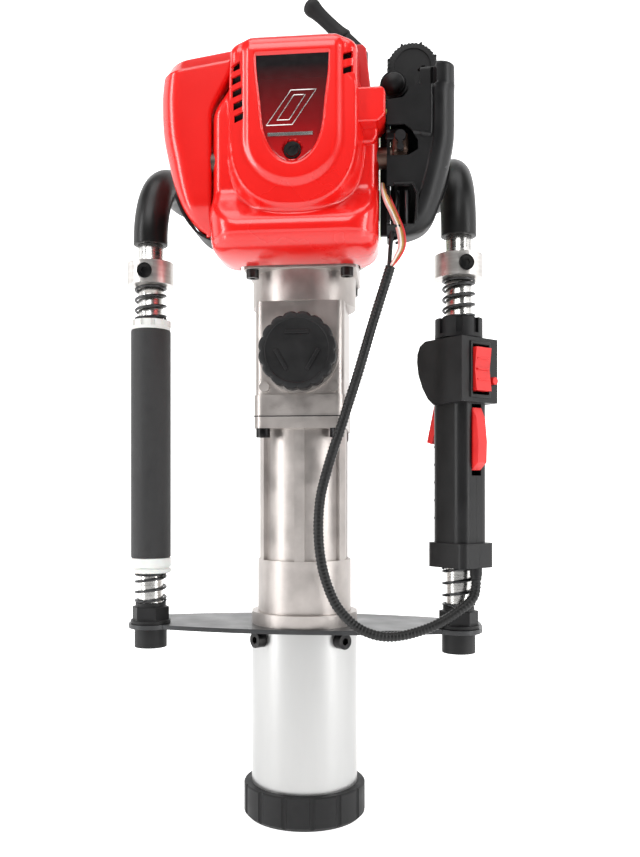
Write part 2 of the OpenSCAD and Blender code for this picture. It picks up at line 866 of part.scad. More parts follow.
foot_collar();
barrel();
mounting_plate();
hammer_cylinder();
anvil();
striker();
drive_piston();
connecting_rod();
crank_gear();
bearing_carrier();
gear_case();
gearbox_cap();
bevel_pinion();
ball_bearings();
clutch_housing();
clutch_drum();
clutch_shoes();
cap_screws();
flywheel();
crankshaft();
crankcase();
engine_rod();
engine_piston();
cylinder_block();
spark_plug();
muffler();
carburetor();
air_cleaner_base();
air_filter();
air_cleaner_cover();
top_cover();
plug_cover();
muffler_cover();
recoil_housing();
recoil_pulley();
starter_grip();
fuel_tank();
fuel_cap();
primer_bulb();
choke_lever();
handlebar();
handlebar_sleeve();
handlebar_nuts();
spring_collars();
lower_spring_left();
upper_spring_left();
lower_spring_right();
upper_spring_right();
left_grip();
left_grip_ends();
handle_shell_left();
handle_shell_right();
ring_nut();
rocker();
stop_button();
throttle_trigger();
lockout();
lock_knob();
cable_gland();
conduit();
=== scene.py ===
"""Looks for the hand-held petrol post driver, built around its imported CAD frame.

Shapes are worked out in millimetres in the CAD frame, +Z up the barrel and -Y the front, and
turned into metres when a mesh is made.
"""

import json
import math

import bmesh
import bpy
from mathutils import Matrix, Vector
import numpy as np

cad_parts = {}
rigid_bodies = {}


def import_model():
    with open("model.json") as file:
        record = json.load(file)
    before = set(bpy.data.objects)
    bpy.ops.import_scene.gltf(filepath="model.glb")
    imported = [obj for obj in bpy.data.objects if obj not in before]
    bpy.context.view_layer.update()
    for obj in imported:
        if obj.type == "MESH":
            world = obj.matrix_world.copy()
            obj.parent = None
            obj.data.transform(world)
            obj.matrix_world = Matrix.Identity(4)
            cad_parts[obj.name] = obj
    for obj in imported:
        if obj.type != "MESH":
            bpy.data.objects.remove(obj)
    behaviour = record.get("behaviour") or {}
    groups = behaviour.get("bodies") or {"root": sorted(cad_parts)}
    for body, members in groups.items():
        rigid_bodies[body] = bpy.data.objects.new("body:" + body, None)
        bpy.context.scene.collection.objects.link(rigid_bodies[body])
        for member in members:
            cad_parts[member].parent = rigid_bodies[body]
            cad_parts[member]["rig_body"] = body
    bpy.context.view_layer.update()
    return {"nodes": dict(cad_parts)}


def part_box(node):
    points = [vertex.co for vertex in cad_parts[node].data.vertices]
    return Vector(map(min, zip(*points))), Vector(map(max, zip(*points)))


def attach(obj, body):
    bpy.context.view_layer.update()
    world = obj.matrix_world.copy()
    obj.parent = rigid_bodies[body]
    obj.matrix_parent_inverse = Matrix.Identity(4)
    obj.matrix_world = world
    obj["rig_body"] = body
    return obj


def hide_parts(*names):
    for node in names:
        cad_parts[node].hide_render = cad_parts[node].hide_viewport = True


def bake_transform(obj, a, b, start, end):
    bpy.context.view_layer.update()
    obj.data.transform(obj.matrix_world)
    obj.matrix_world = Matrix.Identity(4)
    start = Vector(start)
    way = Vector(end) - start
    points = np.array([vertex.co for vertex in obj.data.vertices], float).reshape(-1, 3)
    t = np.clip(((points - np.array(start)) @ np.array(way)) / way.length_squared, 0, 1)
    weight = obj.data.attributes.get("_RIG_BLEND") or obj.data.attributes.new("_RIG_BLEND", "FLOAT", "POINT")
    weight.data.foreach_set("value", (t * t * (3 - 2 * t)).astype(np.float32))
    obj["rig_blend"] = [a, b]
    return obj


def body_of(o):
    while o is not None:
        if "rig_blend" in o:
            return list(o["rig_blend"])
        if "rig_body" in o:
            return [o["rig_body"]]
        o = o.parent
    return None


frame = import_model()
MM = 0.001


def corner_mm(node):
    """The lowest and highest corners of a CAD node, in mm."""
    low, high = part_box(node)
    return low / MM, high / MM


def middle(node, axis):
    """The middle of a CAD node along one axis, in mm."""
    low, high = corner_mm(node)
    return (low[axis] + high[axis]) / 2


# ---- Camera: level, a little to the right of the front


def add_camera():
    data = bpy.data.cameras.new("photo_camera")
    data.lens = 37.7
    data.shift_x = 0.0181
    data.shift_y = 0.0671
    data.clip_start = 0.05
    camera = bpy.data.objects.new("photo_camera", data)
    camera.location = (0.0769, -0.732, 0.266)
    camera.rotation_euler = (math.radians(90), 0, math.radians(6))
    bpy.context.scene.collection.objects.link(camera)
    bpy.context.scene.camera = camera


add_camera()


# ---- Numbers and curves


def mix(a, b, k):
    """a at k = 0, b at k = 1."""
    return a + (b - a) * k


def smooth(low, high, value):
    """0 at low, 1 at high, and a smooth rise between."""
    k = min(max((value - low) / (high - low), 0), 1)
    return k * k * (3 - 2 * k)


def spline(points, step):
    """Points about step mm apart on a smooth curve through the given points."""
    points = [Vector(p) for p in points]
    ends = [2 * points[0] - points[1]] + points + [2 * points[-1] - points[-2]]
    curve = []
    for a, b, c, d in zip(ends, ends[1:], ends[2:], ends[3:]):
        count = max(1, round((c - b).length / step))
        for i in range(count):
            t = i / count
            curve.append(0.5 * (2 * b + (c - a) * t + (2 * a - 5 * b + 4 * c - d) * t * t
                                + (3 * b - a - 3 * c + d) * t ** 3))
    return curve + [points[-1]]


def length_of(points):
    """The length of a line through points."""
    return sum((b - a).length for a, b in zip(points, points[1:]))


def arc(centre, radius, start, end, steps):
    """Points on an arc in a plane, angles in degrees."""
    angles = [math.radians(mix(start, end, i / steps)) for i in range(steps + 1)]
    return [(centre[0] + radius * math.cos(a), centre[1] + radius * math.sin(a)) for a in angles]


# ---- Materials


def colour(hue):
    return (*hue, 1)


def textured(name, tones, scale, roughness, relief, metallic=0.0, stretch=(1, 1, 1),
             cells=False, sockets=()):
    """A material whose colour and gloss drift between two values, with a grain in its relief.

    relief is the grain's scale, strength and height in mm; stretch squeezes or draws out the
    texture along each axis; cells makes the grain one of small cells, as in foam.
    """
    material = bpy.data.materials.new(name)
    material.use_nodes = True
    nodes, links = material.node_tree.nodes, material.node_tree.links
    shader = nodes["Principled BSDF"]
    shader.inputs["Metallic"].default_value = metallic
    for socket, value in dict(sockets).items():
        shader.inputs[socket].default_value = value
    coords = nodes.new("ShaderNodeTexCoord")
    mapping = nodes.new("ShaderNodeMapping")
    mapping.inputs["Scale"].default_value = stretch
    links.new(coords.outputs["Object"], mapping.inputs["Vector"])
    drift = nodes.new("ShaderNodeTexNoise")
    drift.inputs["Scale"].default_value = scale
    drift.inputs["Detail"].default_value = 6
    links.new(mapping.outputs["Vector"], drift.inputs["Vector"])
    ramp = nodes.new("ShaderNodeValToRGB")
    ramp.color_ramp.elements[0].position = 0.35
    ramp.color_ramp.elements[1].position = 0.65
    ramp.color_ramp.elements[0].color = colour(tones[0])
    ramp.color_ramp.elements[1].color = colour(tones[1])
    links.new(drift.outputs["Fac"], ramp.inputs["Fac"])
    links.new(ramp.outputs["Color"], shader.inputs["Base Color"])
    gloss = nodes.new("ShaderNodeMapRange")
    gloss.inputs["From Min"].default_value = 0.3
    gloss.inputs["From Max"].default_value = 0.7
    gloss.inputs["To Min"].default_value = roughness[0]
    gloss.inputs["To Max"].default_value = roughness[1]
    links.new(drift.outputs["Fac"], gloss.inputs["Value"])
    links.new(gloss.outputs["Result"], shader.inputs["Roughness"])
    grain = nodes.new("ShaderNodeTexVoronoi" if cells else "ShaderNodeTexNoise")
    grain.inputs["Scale"].default_value = relief[0]
    links.new(mapping.outputs["Vector"], grain.inputs["Vector"])
    bump = nodes.new("ShaderNodeBump")
    bump.inputs["Strength"].default_value = relief[1]
    bump.inputs["Distance"].default_value = relief[2] * MM
    links.new(grain.outputs["Distance" if cells else "Fac"], bump.inputs["Height"])
    links.new(bump.outputs["Normal"], shader.inputs["Normal"])
    return material


def faded(name, low, high, stops, roughness):
    """A glossy printed panel whose colour fades along Z between two heights in mm."""
    material = textured(name, (stops[0][1], stops[0][1]), 200, roughness, relief=(1500, 0.1, 0.03),
                        sockets={"Coat Weight": 0.5})
    nodes, links = material.node_tree.nodes, material.node_tree.links
    shader = nodes["Principled BSDF"]
    coords = nodes.new("ShaderNodeTexCoord")
    split = nodes.new("ShaderNodeSeparateXYZ")
    links.new(coords.outputs["Object"], split.inputs["Vector"])
    height = nodes.new("ShaderNodeMapRange")
    height.inputs["From Min"].default_value = low * MM
    height.inputs["From Max"].default_value = high * MM
    links.new(split.outputs["Z"], height.inputs["Value"])
    ramp = nodes.new("ShaderNodeValToRGB")
    ramp.color_ramp.elements.new(0.5)
    for element, (position, tone) in zip(ramp.color_ramp.elements, stops):
        element.position = position
        element.color = colour(tone)
    links.new(height.outputs["Result"], ramp.inputs["Fac"])
    links.new(ramp.outputs["Color"], shader.inputs["Base Color"])
    return material


GLOSS = {"Coat Weight": 0.5, "Coat Roughness": 0.05, "Specular IOR Level": 0.45}
DULL = {"Specular IOR Level": 0.3}
red_gloss = textured("red_gloss", ((0.74, 0.008, 0.006), (0.80, 0.011, 0.008)), 9, (0.24, 0.32),
                     relief=(260, 0.05, 0.1), sockets=GLOSS)
red_satin = textured("red_satin", ((0.66, 0.010, 0.010), (0.76, 0.016, 0.014)), 60, (0.35, 0.45),
                     relief=(1600, 0.15, 0.05))
# A darker copy of the red paint: painted shade, for the fin above the plug hood that sits in shadow.
red_painted_shade = textured("red_painted_shade", ((0.50, 0.006, 0.006), (0.56, 0.008, 0.007)), 30,
                      (0.35, 0.45), relief=(800, 0.15, 0.06))
black_shell = textured("black_shell", ((0.0055, 0.0055, 0.006), (0.009, 0.009, 0.0095)), 40,
                       (0.33, 0.43), relief=(1300, 0.3, 0.06), sockets=DULL)
black_plain = textured("black_plain", ((0.005, 0.005, 0.0055), (0.011, 0.011, 0.0115)), 60,
                       (0.45, 0.58), relief=(900, 0.4, 0.08), sockets=DULL)
rubber = textured("rubber", ((0.006, 0.006, 0.0065), (0.013, 0.013, 0.0135)), 70, (0.5, 0.66),
                  relief=(700, 0.35, 0.12), sockets=DULL)
tube_rubber = textured("tube_rubber", ((0.008, 0.008, 0.008), (0.013, 0.013, 0.013)), 50,
                       (0.32, 0.42), relief=(500, 0.15, 0.1), sockets=DULL)
foam = textured("foam", ((0.012, 0.012, 0.0125), (0.021, 0.021, 0.0215)), 120, (0.62, 0.78),
                relief=(950, 0.6, 0.22), cells=True, sockets={"Sheen Weight": 0.12})
cast = textured("cast_aluminium", ((0.43, 0.395, 0.375), (0.54, 0.50, 0.475)), 55, (0.34, 0.48),
                metallic=0.85, relief=(650, 0.45, 0.12))
machined = textured("machined_face", ((0.60, 0.585, 0.57), (0.70, 0.685, 0.67)), 120, (0.25, 0.36),
                    metallic=0.95, relief=(400, 0.2, 0.03), stretch=(1, 1, 12))
barrel_metal = textured("barrel_metal", ((0.42, 0.42, 0.415), (0.46, 0.46, 0.455)), 30,
                        (0.27, 0.36), metallic=0.85, relief=(300, 0.08, 0.02),
                        stretch=(1, 1, 0.2))
plated = textured("plated_steel", ((0.60, 0.59, 0.57), (0.72, 0.71, 0.69)), 35, (0.2, 0.32),
                  metallic=1.0, relief=(260, 0.15, 0.02), stretch=(1, 1, 10))
collar_metal = textured("collar_metal", ((0.60, 0.575, 0.55), (0.70, 0.675, 0.65)), 80,
                        (0.3, 0.42), metallic=0.9, relief=(420, 0.25, 0.04), stretch=(1, 1, 6))
steel = textured("plain_steel", ((0.30, 0.30, 0.31), (0.42, 0.42, 0.43)), 60, (0.25, 0.4),
                 metallic=1.0, relief=(300, 0.2, 0.03))
plate_metal = textured("plate_steel", ((0.03, 0.031, 0.032), (0.05, 0.051, 0.053)), 40,
                       (0.3, 0.44), metallic=0.5, relief=(500, 0.25, 0.05))
black_screw = textured("black_screw", ((0.02, 0.02, 0.021), (0.045, 0.044, 0.043)), 180,
                       (0.28, 0.42), metallic=0.9, relief=(800, 0.2, 0.04))
spring_wire = textured("spring_wire", ((0.03, 0.03, 0.031), (0.07, 0.07, 0.072)), 150,
                       (0.25, 0.4), metallic=0.9, relief=(900, 0.15, 0.03))
nylon = textured("nylon", ((0.76, 0.75, 0.72), (0.84, 0.83, 0.80)), 90, (0.35, 0.45),
                 relief=(900, 0.2, 0.04), sockets={"Subsurface Weight": 0.1})
tank_plastic = textured("tank_plastic", ((0.78, 0.77, 0.60), (0.84, 0.83, 0.68)), 30, (0.3, 0.4),
                        relief=(500, 0.2, 0.06), sockets={"Subsurface Weight": 0.2})
hot_steel = textured("hot_steel", ((0.06, 0.045, 0.035), (0.12, 0.10, 0.09)), 45, (0.35, 0.55),
                     metallic=0.9, relief=(500, 0.3, 0.08))
carb_metal = textured("carb_metal", ((0.07, 0.042, 0.03), (0.14, 0.09, 0.07)), 90, (0.35, 0.5),
                      metallic=0.7, relief=(600, 0.3, 0.06))
filter_foam = textured("filter_foam", ((0.05, 0.05, 0.052), (0.10, 0.10, 0.10)), 300, (0.8, 0.9),
                       relief=(500, 0.8, 0.4), cells=True)
ceramic = textured("ceramic", ((0.78, 0.77, 0.73), (0.86, 0.85, 0.81)), 70, (0.15, 0.22),
                   relief=(300, 0.05, 0.03))
friction = textured("friction", ((0.10, 0.07, 0.05), (0.20, 0.15, 0.11)), 400, (0.7, 0.85),
                    relief=(900, 0.5, 0.1))
pulley_plastic = textured("pulley_plastic", ((0.60, 0.58, 0.52), (0.68, 0.66, 0.60)), 60,
                          (0.4, 0.5), relief=(700, 0.2, 0.05))
conduit_plastic = textured("conduit_plastic", ((0.006, 0.006, 0.006), (0.011, 0.011, 0.011)), 80,
                           (0.3, 0.42), relief=(900, 0.2, 0.05), sockets=DULL)
badge = faded("badge", 500, 572, ((0.0, (0.50, 0.006, 0.008)), (0.42, (0.20, 0.004, 0.006)),
                                  (1.0, (0.006, 0.004, 0.005))), (0.16, 0.22))


def wire_plastic(name, tone):
    paler = tuple(min(1, c * 1.15 + 0.01) for c in tone)
    return textured(name, (tone, paler), 200, (0.35, 0.45), relief=(1200, 0.1, 0.02))


# ---- Mesh builders


def place(piece, material, body, stands_for=(), sharp=35):
    """Puts a piece in the scene on its body, smooth but for its sharp edges."""
    bpy.context.scene.collection.objects.link(piece)
    mesh = piece.data
    mesh.materials.clear()
    mesh.materials.append(material)
    mesh.shade_smooth()
    mesh.set_sharp_from_angle(angle=math.radians(sharp))
    if body:
        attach(piece, body)
    if stands_for:
        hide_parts(*stands_for)
    return piece


def face_outwards(mesh):
    """Merges a mesh's doubled points and turns its faces outwards."""
    shape = bmesh.new()
    shape.from_mesh(mesh)
    bmesh.ops.remove_doubles(shape, verts=shape.verts, dist=1e-6)
    bmesh.ops.recalc_face_normals(shape, faces=shape.faces)
    shape.to_mesh(mesh)
    shape.free()


def mesh_from(name, points, faces):
    """A mesh object from points in mm."""
    mesh = bpy.data.meshes.new(name)
    mesh.from_pydata([Vector(p) * MM for p in points], [], faces)
    face_outwards(mesh)
    return bpy.data.objects.new(name, mesh)


def grid(name, rows, wrap=False, caps=False):
    """A surface through rows of points; wrap joins each row's ends, caps closes the ends."""
    count = len(rows[0])
    faces = []
    for i in range(len(rows) - 1):
        for j in range(count if wrap else count - 1):
            k = (j + 1) % count
            faces.append((i * count + j, i * count + k, (i + 1) * count + k, (i + 1) * count + j))
    if caps:
        last = (len(rows) - 1) * count
        faces.append(tuple(range(count)))
        faces.append(tuple(range(last, last + count)))
    return mesh_from(name, [p for row in rows for p in row], faces)


def turned(name, profile, centre, axis="Z", sides=72, ring=False):
    """A solid turned about an axis through centre: profile holds (radius, height) pairs.

    A radius may be a function of the angle in degrees. Axis "Y" points to the front. A ring's
    profile joins up with its own start, so the ring stays open through its middle.
    """
    rows = []
    for radius, height in profile:
        row = []
        for k in range(sides):
            degrees = k * 360 / sides
            r = radius(degrees) if callable(radius) else radius
            u, v = r * math.cos(math.radians(degrees)), r * math.sin(math.radians(degrees))
            step = {"Z": (u, v, height), "Y": (u, -height, v), "X": (height, u, v)}[axis]
            row.append(Vector(centre) + Vector(step))
        rows.append(row)
    if ring:
        return grid(name, rows + rows[:1], wrap=True)
    return grid(name, rows, wrap=True, caps=True)


def tube(name, path, radius, sides=16):
    """A round tube along a path in mm; radius may be a function of the distance along it."""
    path = [Vector(p) for p in path]
    side = Vector((0, 1, 0.01))
    rows, distance = [], 0
    for i, point in enumerate(path):
        ahead = (path[min(i + 1, len(path) - 1)] - path[max(i - 1, 0)]).normalized()
        side = (side - side.dot(ahead) * ahead).normalized()
        other = ahead.cross(side)
        distance += (point - path[i - 1]).length if i else 0
        r = radius(distance) if callable(radius) else radius
        rows.append([point + r * (math.cos(a) * side + math.sin(a) * other)
                     for a in (2 * math.pi * k / sides for k in range(sides))])
    return grid(name, rows, wrap=True, caps=True)


def prism(name, outline, low, high, axis="Y", bevel=1.0, turn=None):
    """An outline pushed out along an axis, with rounded edges. turn moves it into place."""
    order = {"Y": lambda u, v, w: (u, w, v), "Z": lambda u, v, w: (u, v, w)}[axis]
    rows = [[order(u, v, w) for u, v in outline] for w in (low, high)]
    piece = grid(name, rows, wrap=True, caps=True)
    round_edges(piece, bevel)
    if turn:
        piece.data.transform(turn)
    return piece


def round_edges(piece, width, steps=3, angle=28):
    """Rounds every edge of a mesh that is sharper than the angle."""
    shape = bmesh.new()
    shape.from_mesh(piece.data)
    bmesh.ops.remove_doubles(shape, verts=shape.verts, dist=2e-6)
    bmesh.ops.dissolve_limit(shape, angle_limit=math.radians(1.2), verts=shape.verts,
                             edges=shape.edges)
    limit = math.radians(angle)
    sharp = [e for e in shape.edges if len(e.link_faces) == 2 and e.calc_face_angle(0) > limit]
    bmesh.ops.bevel(shape, geom=sharp, offset=width * MM, segments=steps, profile=0.5,
                    affect="EDGES", clamp_overlap=True)
    shape.to_mesh(piece.data)
    shape.free()
    weigh = piece.modifiers.new("even_shading", "WEIGHTED_NORMAL")
    weigh.keep_sharp = True


def softened(node, material, width=1.0, steps=3):
    """A CAD node's own shape with its edges rounded, shown in its place."""
    piece = bpy.data.objects.new(node + "_finished", frame["nodes"][node].data.copy())
    round_edges(piece, width, steps)
    return place(piece, material, body_of(frame["nodes"][node])[0], [node], sharp=50)


def paint(node, material):
    """A better material on a CAD node that stays."""
    mesh = frame["nodes"][node].data
    mesh.materials.clear()
    mesh.materials.append(material)
    mesh.set_sharp_from_angle(angle=math.radians(35))


def with_modifiers_applied(piece):
    """Makes a piece's modifiers part of its mesh."""
    bpy.context.scene.collection.objects.link(piece)
    bpy.context.view_layer.update()
    graph = bpy.context.evaluated_depsgraph_get()
    mesh = bpy.data.meshes.new_from_object(piece.evaluated_get(graph))
    piece.modifiers.clear()
    piece.data = mesh
    face_outwards(mesh)
    bpy.context.scene.collection.objects.unlink(piece)
    return piece


def shelled(piece, wall):
    """Gives an open surface a wall on its inner side."""
    shell = piece.modifiers.new("wall", "SOLIDIFY")
    shell.thickness = wall * MM
    shell.offset = -1
    return with_modifiers_applied(piece)


def cut_out(piece, cutters):
    """Cuts closed shapes out of a closed shape."""
    for cutter in cutters:
        bpy.context.scene.collection.objects.link(cutter)
        cut = piece.modifiers.new("cut", "BOOLEAN")
        cut.operation = "DIFFERENCE"
        cut.object = cutter
        cut.solver = "EXACT"
    with_modifiers_applied(piece)
    for cutter in cutters:
        bpy.data.objects.remove(cutter)
    return piece


# ---- Cords: the conduit and the engine's wires

TUBE_X = -middle("left_grip", 0)
TUBE_Y = middle("left_grip", 1)
CONDUIT_ROUTE = [(135.8, -33.2, 194), (135.8, -33.2, 190), (134.5, -35.5, 183), (130, -39, 177),
                 (122, -42, 171), (113.5, -44, 165.5), (103, -46, 160), (93, -49, 156.5),
                 (82, -53, 154), (71, -56.5, 153), (60, -60, 154.5), (49, -62.5, 159),
                 (40, -64.5, 166), (31, -66.5, 177), (25, -67.5, 190), (20.5, -68, 205),
                 (18, -68, 222), (17.5, -67.5, 240), (19, -66.5, 258), (23, -65.5, 275),
                 (28, -64.5, 292), (34, -63.5, 310), (40, -62.5, 329), (46, -61.5, 348),
                 (51.5, -60.5, 367), (57, -59.5, 386), (62.5, -58.5, 404), (67.5, -57.5, 420),
                 (70.5, -57, 430)]
RIB_PITCH = 2.8


def make_conduit():
    """Corrugated conduit from the handle's gland to the engine; it bends as the handle slides."""
    path = spline(CONDUIT_ROUTE, RIB_PITCH / 4)

    def ribbed(distance):
        return 3.72 + 0.28 * math.cos(2 * math.pi * distance / RIB_PITCH)

    piece = place(tube("conduit_sleeve", path, ribbed, 14), conduit_plastic, None, sharp=60)
    metres = [p * MM for p in path]
    gland = metres[0]
    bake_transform(piece, "right_grip", "root", start=gland, end=(0.075, gland.y, gland.z))
    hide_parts("conduit")
    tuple(gland)
    length_of(metres)


def make_wire(name, tone, points, width=1.3):
    """A wire or a thin hose in the engine bay, through points in mm."""
    path = [p * MM for p in spline(points, 1.5)]
    curve = bpy.data.curves.new(name, "CURVE")
    curve.dimensions = "3D"
    curve.bevel_depth = width * MM / 2
    curve.bevel_resolution = 3
    line = curve.splines.new("POLY")
    line.points.add(len(path) - 1)
    for point, where in zip(line.points, path):
        point.co = (*where, 1)
    curve.materials.append(wire_plastic(name + "_plastic", tone))
    piece = bpy.data.objects.new(name, curve)
    bpy.context.scene.collection.objects.link(piece)
    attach(piece, "root")
    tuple(path[0])
    length_of(path)


WIRE_TONES = {"wire_pink": (0.80, 0.42, 0.40), "wire_white": (0.80, 0.78, 0.74),
              "wire_yellow": (0.70, 0.50, 0.16), "wire_copper": (0.42, 0.16, 0.05)}


def make_wires():
    for i, (name, tone) in enumerate(WIRE_TONES.items()):
        across, ahead = (i - 1.5) * 1.3, i % 2
        make_wire(name, tone, [(70.8 + across * 0.3, -57.5 - ahead, 429.5),
                               (75.5 + across * 0.8, -59 - ahead, 437),
                               (79 + across, -59.5 - ahead, 445),
                               (77.5 + across, -59.5 - ahead, 457),
                               (73.3 + across, -59.5 - ahead, 468),
                               (68.6 + across, -59.5, 478), (65.6 + across * 0.6, -57, 487),
                               (64.6 + across * 0.4, -50, 495)], 1.6)
    make_wire("wire_red", (0.62, 0.02, 0.03), [(71.5, -58.5, 429.5), (77.5, -60.5, 436),
                                               (81.6, -61, 445), (80.6, -61, 456),
                                               (76.6, -60.5, 467), (72, -59, 478), (68, -52, 490)])
    make_wire("throttle_cable", (0.006, 0.006, 0.006), [(69.6, -56, 429.5), (70.4, -56.5, 441),
                                                        (71.5, -57, 453), (73.5, -56.5, 466),
                                                        (75.5, -55, 480), (75, -52, 492)], 3.4)


make_conduit()
make_wires()


# ---- Red engine covers

FLANK_Y = -62.0
CREASE_Z = 451.0
HEAD_Z = 583.0
HEAD_ROUND = 14.0
COVER_BACK = -32.0
BADGE_CORNER_Z = 538
BADGE_DROP = 37.5
BADGE_TOP_Z = 580.3
SCREW_Z = 510


def cover_line(left, right, front, radius):
    """The cover's outline at one height, from the back left corner round the front."""
    radius = min(radius, -front + COVER_BACK - 1)
    line = [(left, mix(COVER_BACK, front + radius, i / 8)) for i in range(8)]
    line += arc((left + radius, front + radius), radius, 180, 270, 10)
    line += [(mix(left + radius, right - radius, i / 110), front) for i in range(1, 110)]
    line += arc((right - radius, front + radius), radius, 270, 360, 10)
    line += [(right, mix(front + radius, COVER_BACK, i / 8)) for i in range(1, 9)]
    return line


def outside_u(x, z, half_width, corner_z, drop, power=2.0):
    """Distance outside a U: straight sides above corner_z, a rounded end below it."""
    if z >= corner_z:
        return abs(x) - half_width
    reach = (abs(x / half_width) ** power + ((corner_z - z) / drop) ** power) ** (1 / power)
    return (reach - 1) * min(half_width, drop)


def badge_width(z):
    """Half the badge's width at a height, above its rounded foot."""
    return mix(23.5, 27.5, smooth(530, 578, z))


def cover_relief(x, z):
    """How far the framed panel and its badge stand out from the cover's front."""
    flare = 22 * smooth(492, 456, z)
    frame_edge = outside_u(x, z, 46.6, 524, 53, 2.5)
    ridge_edge = outside_u(x, z, 35, 520, 34)
    badge_edge = max(outside_u(x, z, badge_width(z), BADGE_CORNER_Z, BADGE_DROP), z - BADGE_TOP_Z)
    height = max(22.5 - flare, 0) * (1 - smooth(-1, 5.5, frame_edge))
    height += 3.0 * (1 - smooth(-4.0, 3.0, ridge_edge)) * (1 - smooth(-2, 8, frame_edge))
    height += 0.4 * (1 - smooth(-9, -1, ridge_edge))
    height -= 2.2 * (1 - smooth(-0.9, 0.5, badge_edge))
    height -= 3.2 * (1 - smooth(-0.6, 0.5, math.hypot(x, z - SCREW_Z) - 6.5))
    height -= 0.9 * math.exp(-((z - CREASE_Z - 0.5) / 0.9) ** 2)
    return height


def cover_front(z):
    """Depth of the cover's flat front at a height: its foot stands further out."""
    return FLANK_Y - 22 * smooth(492, 456, z)


def cover_sides(z):
    """The cover narrows to its head; its right shoulder is lower than its left."""
    left = mix(-64.8, -48.2, smooth(546, 580, z))
    right = mix(62, 47.5, smooth(548, 566, z))
    return left, right


def cover_row(z, left, right, front, radius, drop=0.0, relief=True, depth=0.0):
    """The cover's outline at a height with its relief, moved down by drop and back by depth."""
    row = []
    for x, y in cover_line(left, right, front, radius):
        out = cover_relief(x, min(z, HEAD_Z)) if relief and abs(x) < 53 else 0
        row.append((x, y - out + depth, z - drop))
    return row


def cover_rows():
    """The cover's outlines from its rounded chin up its front and over its head."""
    rows = []
    left, right = cover_sides(CREASE_Z)
    front = cover_front(CREASE_Z)
    for i in range(10):
        turn = math.radians(90 - i * 10)
        inward = 1 - math.cos(turn)
        rows.append(cover_row(CREASE_Z, mix(left, -47, inward), mix(right, 47, inward),
                              mix(front + 1, -47.5, inward), mix(24, 10, inward),
                              drop=15 * math.sin(turn), relief=False))
    z = CREASE_Z + 0.4
    while z < HEAD_Z:
        left, right = cover_sides(z)
        radius = mix(24, 9, smooth(453, 478, z))
        rows.append(cover_row(z, left, right, cover_front(z), radius))
        z += 1.1
    left, right = cover_sides(HEAD_Z)
    for i in range(10):
        turn = math.radians(i * 10)
        inward = HEAD_ROUND * (1 - math.cos(turn))
        rows.append(cover_row(HEAD_Z, left + 1.35 * inward, right - 1.35 * inward, FLANK_Y, 9,
                              drop=-HEAD_ROUND * math.sin(turn), depth=inward))
    rim = rows[-1]
    for k in (0.3, 0.6, 1.0):
        rows.append([(x, mix(y, COVER_BACK, k), z + 0.8 * math.sin(k * math.pi / 2))
                     for x, y, z in rim])
    return rows


def slanted_slot(x, z, width, tall, rise):
    """The outline of one slanted vent slot in the front, anticlockwise."""
    return [(x - width / 2, z - tall / 2 - rise / 2), (x + width / 2, z - tall / 2 + rise / 2),
            (x + width / 2, z + tall / 2 + rise / 2), (x - width / 2, z + tall / 2 - rise / 2)]


def pierce(piece, outline, near_y, far_y):
    """Opens a hole through a thin sheet, where its faces lie between two depths in mm.

    The outline is convex and anticlockwise, in x and z.
    """
    shape = bmesh.new()
    shape.from_mesh(piece.data)
    low_x, high_x = min(x for x, z in outline) - 2, max(x for x, z in outline) + 2
    low_z, high_z = min(z for x, z in outline) - 2, max(z for x, z in outline) + 2

    def faces_near():
        for face in shape.faces:
            x, y, z = face.calc_center_median() / MM
            if low_x < x < high_x and near_y < y < far_y and low_z < z < high_z:
                yield face, x, z

    edges = list(zip(outline, outline[1:] + outline[:1]))
    for (x0, z0), (x1, z1) in edges:
        near = [face for face, x, z in faces_near()]
        parts = near + list({e for f in near for e in f.edges} | {v for f in near for v in f.verts})
        bmesh.ops.bisect_plane(shape, geom=parts, dist=1e-8, plane_co=(x0 * MM, 0, z0 * MM),
                               plane_no=(z1 - z0, 0, x0 - x1))
    hole = [face for face, x, z in faces_near()
            if all((x1 - x0) * (z - z0) > (z1 - z0) * (x - x0) for (x0, z0), (x1, z1) in edges)]
    bmesh.ops.delete(shape, geom=hole, context="FACES")
    shape.to_mesh(piece.data)
    shape.free()


def badge_half(z):
    """Half the badge's width at a height, down to the end of its rounded foot."""
    below = max(0, (BADGE_CORNER_Z - z) / BADGE_DROP)
    return badge_width(z) * math.sqrt(max(0, 1 - below ** 2))


def on_cover(points, lift):
    """Points laid on the cover's front, lift mm above it."""
    return [(x, FLANK_Y - cover_relief(x, z) - lift, z) for x, z in points]


def make_top_cover():
    slots = [slanted_slot(-42.1 + 0.65 * i, 572.3 - 9.2 * i, 6.8, 5.4, 3.0) for i in range(5)]
    slots += [slanted_slot(40.4, 577.2 - 10.2 * i, 7.0, 5.0, 2.0) for i in range(2)]
    piece = grid("engine_cover", cover_rows())
    for slot in slots:
        pierce(piece, slot, -100, -60)
    shelled(piece, 2.2)
    place(piece, red_gloss, "root", ["top_cover"], sharp=50)
    for name, low_x, high_x, low_z in (("left", -47, -34, 522), ("right", 34, 47, 556)):
        lining = [on_cover([(mix(low_x, high_x, i / 12), z) for i in range(13)], -6.0)
                  for z in range(low_z, 583, 4)]
        place(shelled(grid("vent_lining_" + name, lining), 0.8), black_plain, "root")


